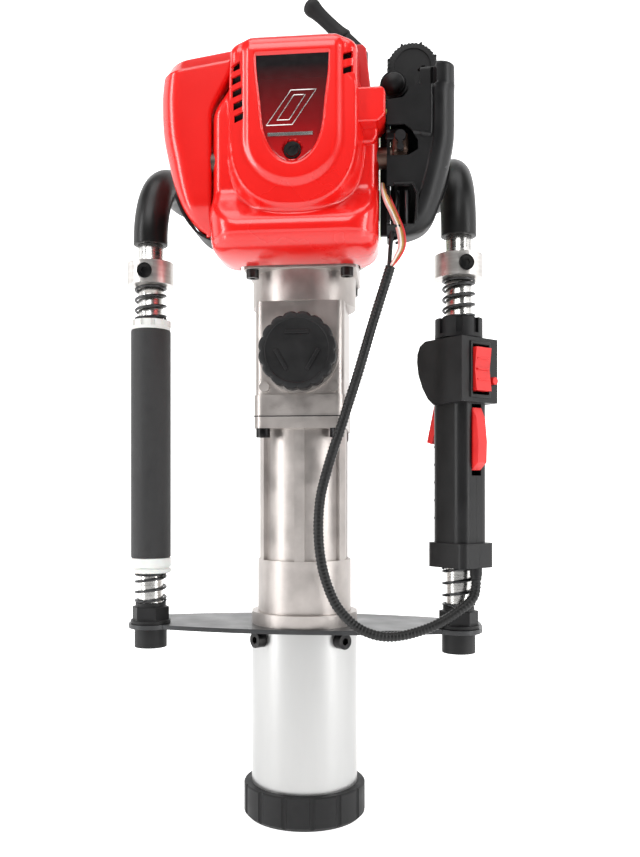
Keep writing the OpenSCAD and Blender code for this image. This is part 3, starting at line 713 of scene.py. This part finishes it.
def make_badge():
    """The printed panel in the cover's front, with its plain emblem, and its screw's recess."""
    rows = []
    for i in range(40):
        z = mix(502.2, 579.4, i / 39)
        half = badge_half(z) - 1.0
        rows.append(on_cover([(mix(-half, half, j / 24), z) for j in range(25)], 0.25))
    place(grid("badge_panel", rows), badge, "root")
    for i, shrink in enumerate((0, 3.6)):
        low, high = 528 + shrink, 553 - shrink
        stripe = [(-19 + 2.2 * shrink, low), (-1 + 0.6 * shrink, high),
                  (17.5 - 2.2 * shrink, high), (-0.6 * shrink, low), (-19 + 2.2 * shrink, low)]
        place(tube("badge_line_%d" % i, straight_runs(on_cover(stripe, 0.3)), 0.35, 6),
              plated, "root")
    bar = [on_cover([(mix(-18, 15, i / 20), z) for i in range(21)], 0.9) for z in (520, 521, 522.4)]
    place(shelled(grid("badge_bar", bar), 0.3), plated, "root")
    # A black ring in the screw's recess: painted shade where the recess around the screw is dark.
    place(turned("cover_screw_recess_shade", [(5.2, 0), (6.2, 0), (6.2, 1.2), (5.2, 1.2)],
                 (0, -84.0, SCREW_Z), "Y", 48, ring=True), black_plain, "root")


def straight_runs(points):
    """Straight runs between points, split finely so that a tube turns its corners neatly."""
    path = []
    for a, b in zip(points, points[1:]):
        path += [mix(Vector(a), Vector(b), i / 6) for i in range(6)]
    return path + [Vector(points[-1])]


MUFFLER_SIDE = [(-105.4, 581), (-106.4, 572), (-106.8, 560), (-105.6, 538), (-101.8, 518),
                (-97.2, 500), (-90.8, 483.5), (-85, 473.5), (-79, 466.5), (-73, 462), (-66.5, 459)]
MUFFLER_TOP_Z = 581
MUFFLER_SLOPE = 0.143
MUFFLER_FRONT = -60.5
MUFFLER_BACK = 8.0


def muffler_line(left, right, front, back):
    """One level of the muffler cover: back right corner, round the left side, to the front.

    It ends with a short return along the engine cover's side.
    """
    width = right - left
    near, far = min(17, width * 0.48), min(10, width * 0.3)
    line = [(mix(right, left + far, i / 8), back) for i in range(8)]
    line += arc((left + far, back - far), far, 90, 180, 8)
    line += [(left, mix(back - far, front + near, i / 10)) for i in range(1, 10)]
    line += arc((left + near, front + near), near, 180, 270, 12)
    line += [(mix(left + near, right - 2.6, i / 24), front) for i in range(1, 24)]
    return line + arc((right - 2.6, front + 2.6), 2.6, 270, 360, 5) + [(right, front + 12)]


def muffler_rows(side):
    """The cover's outlines up its side, then over its slanted, stepped top."""
    rows = []
    for point in reversed(side):
        right = cover_sides(point.z)[0] - 0.9
        front = MUFFLER_FRONT + 12 * smooth(492, 456, point.z) ** 2
        tilt = MUFFLER_SLOPE * smooth(530, MUFFLER_TOP_Z, point.z)
        rows.append([(x, y, point.z + tilt * (x + 105)) for x, y in
                     muffler_line(min(point.x, right - 6), right, front, MUFFLER_BACK)])
    for lift, inward in ((0.7, 0.2), (1.4, 0.8), (1.9, 1.6), (9.8, 6.5), (11.2, 8), (12, 10.5),
                         (12.2, 15), (12.2, 22)):
        rows.append([(x, y, MUFFLER_TOP_Z + lift + MUFFLER_SLOPE * (x + 105)) for x, y in
                     muffler_line(-105.4 + inward * 0.55, -49.1, MUFFLER_FRONT + inward,
                                  MUFFLER_BACK - inward * 0.4)])
    rim = rows[-1]
    for k in (0.3, 0.6, 0.97):
        rows.append([(x, mix(y, -20, k), z) for x, y, z in rim])
    return rows


def make_muffler_cover():
    side = spline([(x, 0, z) for x, z in MUFFLER_SIDE], 2.0)
    piece = grid("muffler_shroud", muffler_rows(side))
    for i in range(5):
        pierce(piece, arc((-82, 500 + 14 * i), 4, 0, 345, 23), 5, 12)
    shelled(piece, 2.2)
    place(piece, red_gloss, "root", ["muffler_cover"], sharp=45)
    lower = [p for p in side if p.z < 496]
    shield = [[(p.x - 0.5, y, p.z - 1.0) for p in lower] for y in (-46, -44, -10, -8)]
    place(shelled(grid("muffler_shield", shield), 1.8), black_plain, "root")


def make_plug_cover():
    box = [(37, 530.5), (61.7, 530.5), (67.2, 536), (67.2, 553), (65, 556.3), (37, 556.3)]
    piece = prism("plug_hood", box, -80, -44, bevel=2.4)
    place(piece, red_gloss, "root", ["plug_cover"], sharp=50)
    neck = [(40, 520), (58, 520), (61.5, 526), (61.5, 534), (40, 534)]
    place(prism("plug_hood_neck", neck, -66, -46, bevel=3.0), red_gloss, "root", sharp=50)
    fin = [(40, 554), (57.0, 554), (52.5, 594), (50, 597), (40, 597)]
    # The fin above the hood takes the darker red, which is painted shade.
    place(prism("plug_duct", fin, -60, -34, bevel=1.6), red_painted_shade, "root", sharp=50)


# ---- Black air cleaner, fuel cap and starter

CLEANER_BACK = -35.2
CLEANER_FRONT = -65.5
CLEANER_SIDE = [(118.2, 578), (118.4, 552), (118.0, 526), (115.3, 510), (111.6, 494), (107, 478),
                (101.7, 465), (95, 457.5), (86, 453.8), (77, 452.6)]


def cleaner_line(left, right, front, back):
    """One level of the air cleaner cover, from the back left round the right side."""
    width = right - left
    near, far = min(15, width * 0.45), min(5, width * 0.3)
    line = [(left, mix(back, front, i / 6)) for i in range(6)]
    line += [(mix(left, right - near, i / 40), front) for i in range(41)]
    line += arc((right - near, front + near), near, 270, 360, 12)[1:]
    line += [(right, mix(front + near, back - far, i / 6)) for i in range(1, 6)]
    line += arc((right - far, back - far), far, 0, 90, 6)
    return line


def cleaner_relief(x, z, right):
    """The sunk front panel and its ledge; the rounded outer band stands proud of it."""
    depth = 1.5 * (1 - smooth(-0.6, 0.6, x - (right - 15.5)))
    depth += 9 * smooth(562.8, 564.0, z) * (1 - smooth(-0.7, 0.7, x - 104))
    ledge = 527.6 - (x - 85) * 0.149
    depth -= 1.4 * smooth(ledge - 0.6, ledge + 0.6, z) * (1 - smooth(-2, 0, x - (right - 16)))
    return depth


def cleaner_left(z):
    """The cover's left edge steps round the fuel cap."""
    steps = ((552.2, 68), (552.3, 77.5), (553.6, 80.5), (556.8, 83), (560.2, 85.2), (562.6, 88),
             (563.6, 92.6))
    if z <= steps[0][0]:
        return steps[0][1]
    for (z0, x0), (z1, x1) in zip(steps, steps[1:]):
        if z < z1:
            return mix(x0, x1, (z - z0) / (z1 - z0))
    return steps[-1][1]


def cleaner_rows():
    """The cover's outlines from its foot to its rounded top."""
    side = spline([(x, 0, z) for x, z in CLEANER_SIDE], 1.2)
    rows = []
    for point in reversed(side):
        left = cleaner_left(point.z)
        ahead = CLEANER_FRONT + 8 * smooth(470, 452, point.z) ** 2
        rows.append([(x, y + (cleaner_relief(x, point.z, point.x) if y < ahead + 8 else 0), point.z)
                     for x, y in cleaner_line(left, max(point.x, left + 9), ahead, CLEANER_BACK)])
    for lift, inward in ((0.7, 0.3), (1.3, 0.9), (1.7, 1.8), (1.9, 3.2)):
        line = cleaner_line(92.6 + inward, 118.2 - inward, CLEANER_FRONT + inward,
                            CLEANER_BACK - inward * 0.5)
        rows.append([(x, y + 9 * (1 - smooth(-0.7, 0.7, x - 104)) * (y < CLEANER_FRONT + 8),
                      578 + lift) for x, y in line])
    rim = rows[-1]
    rows.append([(x, mix(y, -40, 0.9), z) for x, y, z in rim])
    return rows


def make_air_cleaner():
    piece = grid("air_cleaner_shell", cleaner_rows())
    window = [(62, 511), (84, 511), (91, 515), (91, 522), (86, 529.5), (81, 533.5), (62, 533.5)]
    slot = [(60, 460), (88.5, 460), (89.3, 482), (86.5, 488.6), (60, 488.6)]
    for outline in (window, slot):
        pierce(piece, outline, -70, -60)
    shelled(piece, 2.3)
    place(piece, black_shell, "root", ["air_cleaner_cover"], sharp=40)
    lip = [(89.0, 462), (90.6, 462), (91.4, 483), (87.8, 490.2), (73, 490.2), (73, 488.8),
           (86.8, 488.8), (89.6, 482.4)]
    place(prism("cable_slot_lip", lip, -66.4, -63.0, bevel=0.5), black_shell, "root")


def make_intake():
    """What the air cleaner cover's two openings show: gate, posts, insulator and carburettor."""
    knob = [(67, 524.5), (80, 524.5), (82.5, 528), (81, 533), (67, 533)]
    place(prism("intake_gate", knob, -59.5, -52, bevel=1.6), black_shell, "root")
    for i, x in enumerate((76.0, 83.0)):
        place(tube("intake_post_%d" % i, [(x, -52, 460), (x, -53, 470), (x, -53, 488)], 1.9, 14),
              steel, "root")
    place(prism("intake_insulator", [(62.8, 458), (69.5, 458), (69.5, 548), (62.8, 541)],
                -41.5, -36.5, bevel=0.8), black_plain, "root")
    softened("air_cleaner_base", black_plain, 0.5)
    softened("carburetor", carb_metal, 0.8)
    softened("choke_lever", black_plain, 0.4)
    for i, z in enumerate((514.5, 520.0, 516.0)):
        place(turned("carb_jet_%d" % i, [(0.1, 0), (1.6, 0.1), (1.9, 0.8), (1.9, 1.8), (0.9, 2.2),
                                         (0.1, 2.2)], (74.5 + 3.6 * i, -58.6, z), "Y", 20),
              carb_metal, "root")


def make_fuel_cap():
    low, high = corner_mm("fuel_cap")
    centre = ((low[0] + high[0]) / 2, high[1], (low[2] + high[2]) / 2)

    def knurled(radius):
        return lambda degrees: radius - 0.35 + 0.35 * math.cos(math.radians(degrees * 40))

    depth = high[1] - low[1]
    cap = turned("tank_cap", [(14.2, 0), (19.4, 0), (knurled(20.6), 0.8), (knurled(20.9), depth - 3.2),
                              (knurled(20.2), depth - 1.6), (18.6, depth - 0.6),
                              (15.2, depth - 0.3), (14.6, depth - 1.2), (0.2, depth - 1.2)],
                 centre, "Y", 240)
    place(cap, rubber, "fuel_cap", ["fuel_cap"])
    for i in range(8):
        turn = (Matrix.Translation(Vector(centre) * MM)
                @ Matrix.Rotation(math.radians(45 * i + 20), 4, "Y"))
        place(prism("cap_grip_%02d" % i, [(20.0, -1.3), (21.8, -0.6), (21.8, 0.6), (20.0, 1.3)],
                    -depth + 1.8, -1.5, bevel=0.35, turn=turn), rubber, "fuel_cap")


def make_primer():
    low, high = corner_mm("primer_bulb")
    seat = ((low[0] + high[0]) / 2, high[1], (low[2] + high[2]) / 2)
    dome = [(8.8, 0), (9, 1.4)] + [(8.4 * math.cos(a), 1.8 + 6.8 * math.sin(a)) for a in
                                   (math.radians(9 * i) for i in range(10))] + [(0.1, 8.6)]
    place(turned("primer_dome", dome, seat, "Y", 48), rubber, "primer_bulb", ["primer_bulb"])


def make_starter():
    softened("recoil_housing", black_shell, 1.6)
    lean = (Matrix.Translation(Vector((33.3, 0, 630.7)) * MM)
            @ Matrix.Rotation(math.radians(-45), 4, "Y"))
    grip = turned("pull_grip", [(0.2, 0), (5.4, 0), (6.8, 0.7), (7, 2.4), (6.2, 6), (5.8, 12),
                                (5.6, 20), (5.8, 28), (6.3, 33), (7.1, 36.5), (7.2, 39), (6.4, 41.6),
                                (4.4, 43.3), (0.2, 43.8)], (0, 0, 0), "Z", 48)
    grip.data.transform(lean)
    place(grip, rubber, "starter_grip", ["starter_grip"])
    rope = tube("starter_rope", [foot_point(k) for k in (0, 0.25, 0.5, 0.75, 1)], 1.5, 12)
    place(rope, nylon, None)
    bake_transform(rope, "root", "starter_grip", start=foot_point(0) * MM, end=foot_point(1) * MM)


def foot_point(k):
    """A point on the rope between its guide and the grip."""
    return mix(Vector((37.8, 0, 626.2)), Vector((32.9, 0, 631.1)), k)


make_top_cover()
make_badge()
make_muffler_cover()
make_plug_cover()
make_air_cleaner()
make_intake()
make_fuel_cap()
make_primer()
make_starter()


# ---- Barrel, hammer and gearbox


def make_hammer():
    softened("foot_collar", rubber, 0.7)
    softened("barrel", barrel_metal, 0.7)
    softened("mounting_plate", plate_metal, 0.5)
    softened("hammer_cylinder", cast, 1.6, 4)
    softened("gear_case", cast, 1.4, 4)
    softened("clutch_housing", cast, 1.3, 4)
    softened("cap_screws", black_screw, 0.45)


def make_gearbox_cap():
    low, high = corner_mm("gearbox_cap")
    centre = ((low[0] + high[0]) / 2, high[1], (low[2] + high[2]) / 2)
    deep = high[1] - low[1]

    def scalloped(radius):
        return lambda degrees: radius - 1.7 * (1 - abs(math.sin(math.radians(degrees * 8)))) ** 1.6

    profile = [(22, 0.2), (28.2, 0.2), (28.2, 6.8), (scalloped(29.4), 6.9), (scalloped(30), 7.6),
               (scalloped(30), deep - 2.6), (scalloped(29.2), deep - 1.0), (27.4, deep - 0.3),
               (25, deep - 0.1), (24.2, deep - 0.9), (20, deep - 1.0), (6, deep - 1.1),
               (0.2, deep - 1.1)]
    place(turned("oil_cap", profile, centre, "Y", 192), black_plain, "gearbox_cap",
          ["gearbox_cap"], sharp=40)
    for i in range(3):
        turn = (Matrix.Translation(Vector(centre) * MM)
                @ Matrix.Rotation(math.radians(120 * i), 4, "Y")
                @ Matrix.Translation((0, 0, 0.014)))
        place(prism("oil_cap_grip_%d" % i, [(-9, -1.4), (9, -1.4), (9, 1.4), (-9, 1.4)],
                    -deep, -deep + 2.0, bevel=0.6, turn=turn), black_plain, "gearbox_cap")


def make_gaskets():
    """The dark line of the gasket under the gear case, in front and behind."""
    low, high = corner_mm("gear_case")
    seam = [(-34.8, 320.4), (34.8, 320.4), (34.8, 319.6), (-34.8, 319.6)]
    for name, near in (("gasket_-45", low[1] - 0.1), ("gasket_37", high[1] + 0.05)):
        place(prism(name, seam, near, near + 0.5, bevel=0.15), black_plain, "root")


# ---- Handlebar, springs and left grip


def helix(name, low, high, turns):
    """A coil spring on a handle tube, its end coils closed."""
    path = []
    steps = round((turns + 1.5) * 28)
    for i in range(steps + 1):
        k = i / steps
        rise = min(max((k * (turns + 1.5) - 0.75) / turns, 0), 1)
        angle = 2 * math.pi * k * (turns + 1.5)
        climb = mix(low[2] + 1.2, high - 1.2, rise)
        path.append((low[0] + 11.9 * math.cos(angle), low[1] + 11.9 * math.sin(angle), climb))
    return tube(name, path, 1.12, 10)


def make_springs():
    for node, grip, turns, fixed in (("lower_spring_left", "left_grip", 2.5, "low"),
                                     ("upper_spring_left", "left_grip", 3, "high"),
                                     ("lower_spring_right", "right_grip", 3, "low"),
                                     ("upper_spring_right", "right_grip", 3.5, "high")):
        low, high = corner_mm(node)
        x, y = middle(node, 0), TUBE_Y
        piece = helix(node + "_coil", (x, y, low[2]), high[2], turns)
        place(piece, spring_wire, None, sharp=60)
        foot, top = Vector((x, y, low[2])) * MM, Vector((x, y, high[2])) * MM
        still, moving = (foot, top) if fixed == "low" else (top, foot)
        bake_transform(piece, "root", grip, start=still, end=moving)
        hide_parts(node)


LEAN = math.radians(4)


def hoop_path(start_z):
    """The handlebar's centre line from the right tube round the back to the left tube."""
    high = corner_mm("handlebar")[1]
    level = high[2] - 10
    bend, back_bend, reach = 60, 45, 22

    def along(out, inward, z):
        return Vector((TUBE_X - out * math.sin(LEAN) - inward * math.cos(LEAN),
                       TUBE_Y + out * math.cos(LEAN) - inward * math.sin(LEAN), z))

    half = [along(0, 0, start_z), along(0, 0, level - bend - 1)]
    half += [along(bend * (1 - math.cos(a)), 0, level - bend + bend * math.sin(a))
             for a in (math.radians(90 * i / 24) for i in range(25))]
    half += [along(bend + reach + back_bend * math.sin(a), back_bend * (1 - math.cos(a)), level)
             for a in (math.radians(86 * i / 24) for i in range(25))]
    return half + [Vector((-p.x, p.y, p.z)) for p in reversed(half)]


def make_handlebar():
    place(tube("handlebar_tube", hoop_path(458), 9.9, 32), plated, "root", ["handlebar"])
    for side in (-1, 1):
        wall = [(8.3, 136), (9.6, 136), (10, 136.4), (10, 461), (9.6, 461.6), (8.3, 461.6)]
        place(turned("handle_tube_%d" % (side + 1), wall, (side * TUBE_X, TUBE_Y, 0), "Z", 64,
                     ring=True), plated, "root")
        end = [(10.2, 461.0), (12.9, 461.0), (13.7, 461.5), (13.7, 464), (10.2, 464)]
        place(turned("sleeve_end_%d" % (side + 1), end, (side * TUBE_X, TUBE_Y, 0), "Z", 64,
                     ring=True), tube_rubber, "root")
    place(tube("hoop_sleeve", hoop_path(462.2), 13.7, 40), tube_rubber, "root",
          ["handlebar_sleeve"])
    softened("handlebar_nuts", black_plain, 0.8)
    softened("spring_collars", collar_metal, 1.2)


def make_left_grip():
    low, high = corner_mm("left_grip")
    centre = (-TUBE_X, TUBE_Y, 0)

    def worn(degrees):
        return 16 + 0.12 * math.sin(math.radians(degrees * 3)) + 0.08 * math.sin(
            math.radians(degrees * 7 + 40))

    profile = [(13, low[2] + 0.1), (15.3, low[2] + 0.1), (worn, low[2] + 1.1), (worn, low[2] + 60),
               (worn, low[2] + 120), (worn, high[2] - 1.1), (15.3, high[2] - 0.1),
               (13, high[2] - 0.1)]
    piece = place(turned("left_grip_foam", profile, centre, "Z", 96, ring=True), foam, "left_grip",
                  ["left_grip"])
    ends = corner_mm("left_grip_ends")

    def crown(degrees):
        return 16.4 if degrees % 30 < 17 else 14.6

    lower = [(10.4, ends[0][2]), (15.6, ends[0][2]), (16.4, ends[0][2] + 0.8),
             (16.4, ends[0][2] + 3), (15.2, ends[0][2] + 3.4), (15.2, ends[0][2] + 4.4),
             (16.4, ends[0][2] + 4.8), (16.4, low[2] - 0.4), (15.8, low[2]), (10.4, low[2])]
    upper = [(10.4, high[2]), (15.6, high[2]), (16, high[2] + 0.4), (16, high[2] + 2.6),
             (crown, high[2] + 2.8), (crown, ends[1][2] - 0.6), (14.2, ends[1][2]),
             (10.4, ends[1][2])]
    place(turned("nylon_ring_low", lower, centre, "Z", 96, ring=True), nylon, "left_grip",
          ["left_grip_ends"])
    place(turned("nylon_ring_high", upper, centre, "Z", 180, ring=True), nylon, "left_grip", sharp=30)


# ---- Control handle

HANDLE_TURN = math.radians(43)
AT_HANDLE = (Matrix.Translation(Vector((TUBE_X, TUBE_Y, 0)) * MM)
             @ Matrix.Rotation(HANDLE_TURN, 4, "Z"))


def make_handle():
    softened("handle_shell_left", black_shell, 2.4, 4)
    softened("handle_shell_right", black_shell, 2.4, 4)
    softened("ring_nut", black_plain, 1.0)
    softened("rocker", red_satin, 1.0)
    softened("stop_button", red_satin, 0.6)
    softened("throttle_trigger", red_satin, 1.6)
    softened("lockout", red_satin, 1.6)
    softened("lock_knob", black_plain, 0.9)
    softened("cable_gland", black_plain, 0.5)
    for i, z in enumerate((347, 355, 363)):
        place(prism("rocker_rib_%d" % i, [(-6.5, z - 0.7), (6.5, z - 0.7), (6.5, z + 0.7),
                                          (-6.5, z + 0.7)], -26.2, -24.0, bevel=0.4,
                    turn=AT_HANDLE), red_satin, "rocker")
    frame_line = [(-11.2, 333.5), (11.2, 333.5), (11.2, 376.5), (-11.2, 376.5)]
    window = [(-9.1, 335.8), (9.1, 335.8), (9.1, 374.2), (-9.1, 374.2)]
    bezel = prism("switch_bezel", frame_line, -23.2, -21.5, bevel=0.7)
    cut_out(bezel, [prism("hole", window, -30, -15, bevel=0.5)])
    bezel.data.transform(AT_HANDLE)
    place(bezel, black_shell, "right_grip", sharp=40)
    for i, (x, y, z) in enumerate(((15.6, 2, 232), (15.6, 2, 310), (20.1, -4, 366),
                                   (18.1, 4, 212))):
        head = turned("case_screw_%d" % i, [(0.1, 0.2), (1.4, 0.2), (1.6, 0.7), (2.9, 0.8), (3.2, 0.4),
                                            (3.3, -0.6), (0.1, -0.6)], (x, y, z), "X", 32)
        head.data.transform(AT_HANDLE)
        place(head, black_screw, "right_grip")
    for i in range(5):
        z = 240 + 14 * i
        rib = [(-10.5, z), (10.5, z), (10.5, z + 1.6), (-10.5, z + 1.6)]
        place(prism("palm_rib_%d" % i, rib, 15.9, 17.1, bevel=0.45, turn=AT_HANDLE),
              black_shell, "right_grip")


# ---- Engine, tank and what shows behind the covers


def make_muffler():
    can = [(-97, 512), (-92.5, 498), (-87, 489), (-83, 486), (-68, 486), (-68, 582), (-97, 582)]
    place(prism("muffler_can", can, -56, 2, bevel=3.0), hot_steel, "root", ["muffler"])
    place(turned("muffler_pipe", [(7, -71), (9, -71), (9, -26.5), (7, -26.5)], (0, -50, 514), "X",
                 48, ring=True), hot_steel, "root")


def make_engine():
    softened("crankcase", cast, 1.2)
    softened("cylinder_block", cast, 0.4, 2)
    softened("spark_plug", ceramic, 0.5)
    softened("fuel_tank", tank_plastic, 3.0, 5)
    for node, material in (("flywheel", cast), ("crankshaft", steel), ("engine_rod", steel),
                           ("engine_piston", machined), ("connecting_rod", steel),
                           ("crank_gear", steel), ("bevel_pinion", steel),
                           ("ball_bearings", machined), ("bearing_carrier", machined),
                           ("clutch_drum", steel), ("clutch_shoes", friction),
                           ("drive_piston", machined), ("striker", steel), ("anvil", steel),
                           ("air_filter", filter_foam), ("recoil_pulley", pulley_plastic)):
        paint(node, material)
    make_tank_seam()


def make_tank_seam():
    low, high = corner_mm("fuel_tank")
    seam = [(-62.4, 531.4), (62.4, 531.4), (62.4, 529.2), (-62.4, 529.2)]
    place(prism("tank_seam", seam, low[1] + 13, high[1], bevel=0.8), tank_plastic, "root")


def make_recoil_cover():
    """Ribs and a boss on the recoil housing's flat top."""
    face = corner_mm("recoil_pulley")[1][2] + 4
    for i in range(10):
        turn = Matrix.Rotation(math.radians(36 * i + 18), 4, "Z")
        slat = [(20, 0.0), (38, 0.0), (38, 2.2), (20, 2.2)]
        place(prism("recoil_slat_%02d" % i, slat, face - 1.5, face + 0.9, axis="Z", bevel=0.6,
                    turn=turn), black_shell, "root")
    boss = [(0.2, face + 1.6), (8, face + 1.6), (10, face + 1.2), (11, face), (11, face - 1)]
    place(turned("recoil_boss", boss, (0, 0, 0), "Z", 64), black_shell, "root")


def make_fuel_line():
    fuel_line = [(66, 33.5, 568), (61, 10, 567), (60, -20, 566), (60, -34, 562), (63, -39, 557),
                 (69, -40.5, 552)]
    make_wire("fuel_line", (0.55, 0.62, 0.16), fuel_line, 3.4)



make_hammer()
make_gearbox_cap()
make_gaskets()
make_springs()
make_handlebar()
make_left_grip()
make_handle()
make_muffler()
make_engine()
make_recoil_cover()
make_fuel_line()


# ---- Studio


def soft_light(name, where, aim, size, power):
    data = bpy.data.lights.new(name, "AREA")
    data.shape = "RECTANGLE"
    data.size, data.size_y = size
    data.energy = power
    light = bpy.data.objects.new(name, data)
    light.location = where
    light.rotation_euler = (Vector(aim) - Vector(where)).to_track_quat("-Z", "Y").to_euler()
    bpy.context.scene.collection.objects.link(light)


def seen(tree, shader_socket, lighting, mirrored, looked_at):
    """Gives a stage surface its brightness as a light, in reflections, and to the camera."""
    ray = tree.nodes.new("ShaderNodeLightPath")
    value = lighting
    for outlet, brightness in (("Is Glossy Ray", mirrored), ("Is Camera Ray", looked_at)):
        glow = tree.nodes.new("ShaderNodeMix")
        glow.inputs["B"].default_value = brightness
        tree.links.new(ray.outputs[outlet], glow.inputs["Factor"])
        if isinstance(value, float):
            glow.inputs["A"].default_value = value
        else:
            tree.links.new(value, glow.inputs["A"])
        value = glow.outputs["Result"]
    tree.links.new(value, shader_socket)


def make_backdrop():
    """A pale floor that rises into a pale wall."""
    paper = textured("studio_paper", ((0.80, 0.80, 0.80), (0.83, 0.83, 0.83)), 3, (0.8, 0.9),
                     relief=(40, 0.05, 0.2))
    shader = paper.node_tree.nodes["Principled BSDF"]
    shader.inputs["Emission Color"].default_value = (1, 1, 1, 1)
    seen(paper.node_tree, shader.inputs["Emission Strength"], 0.35, 0.9, 1.0)
    rise = [(900 + 900 * math.sin(a), 900 - 900.5 * math.cos(a))
            for a in (math.radians(5 * i) for i in range(19))]
    sweep = [(-2600, -0.5)] + rise + [(1800, 3500)]
    backdrop = grid("studio_sweep", [[(x, y, z) for y, z in sweep] for x in (-3500, 3500)])
    place(backdrop, paper, None)


def make_air():
    world = bpy.data.worlds.new("studio_air")
    world.use_nodes = True
    air = world.node_tree.nodes["Background"]
    air.inputs["Color"].default_value = (1, 1, 1, 1)
    seen(world.node_tree, air.inputs["Strength"], 0.12, 0.08, 1.0)
    bpy.context.scene.world = world
    bpy.context.scene.view_settings.view_transform = "Standard"


def make_lights():
    soft_light("left_softbox", (-1.3, -0.75, 0.65), (0, 0, 0.4), (0.3, 1.7), 15)
    soft_light("right_softbox", (1.3, -0.6, 0.65), (0, 0, 0.4), (0.3, 1.7), 13)
    soft_light("top_softbox", (0.0, -0.2, 1.9), (0, 0, 0.4), (1.2, 0.8), 8)
    soft_light("left_wall", (-1.35, 0.2, 0.6), (0, 0, 0.38), (0.7, 1.7), 6)
    soft_light("right_wall", (1.4, 0.15, 0.6), (0, 0, 0.38), (0.7, 1.7), 6)
    soft_light("key_panel", (-0.3, -1.35, 2.0), (0, 0, 0.4), (1.3, 0.9), 19)


make_backdrop()
make_air()
make_lights()
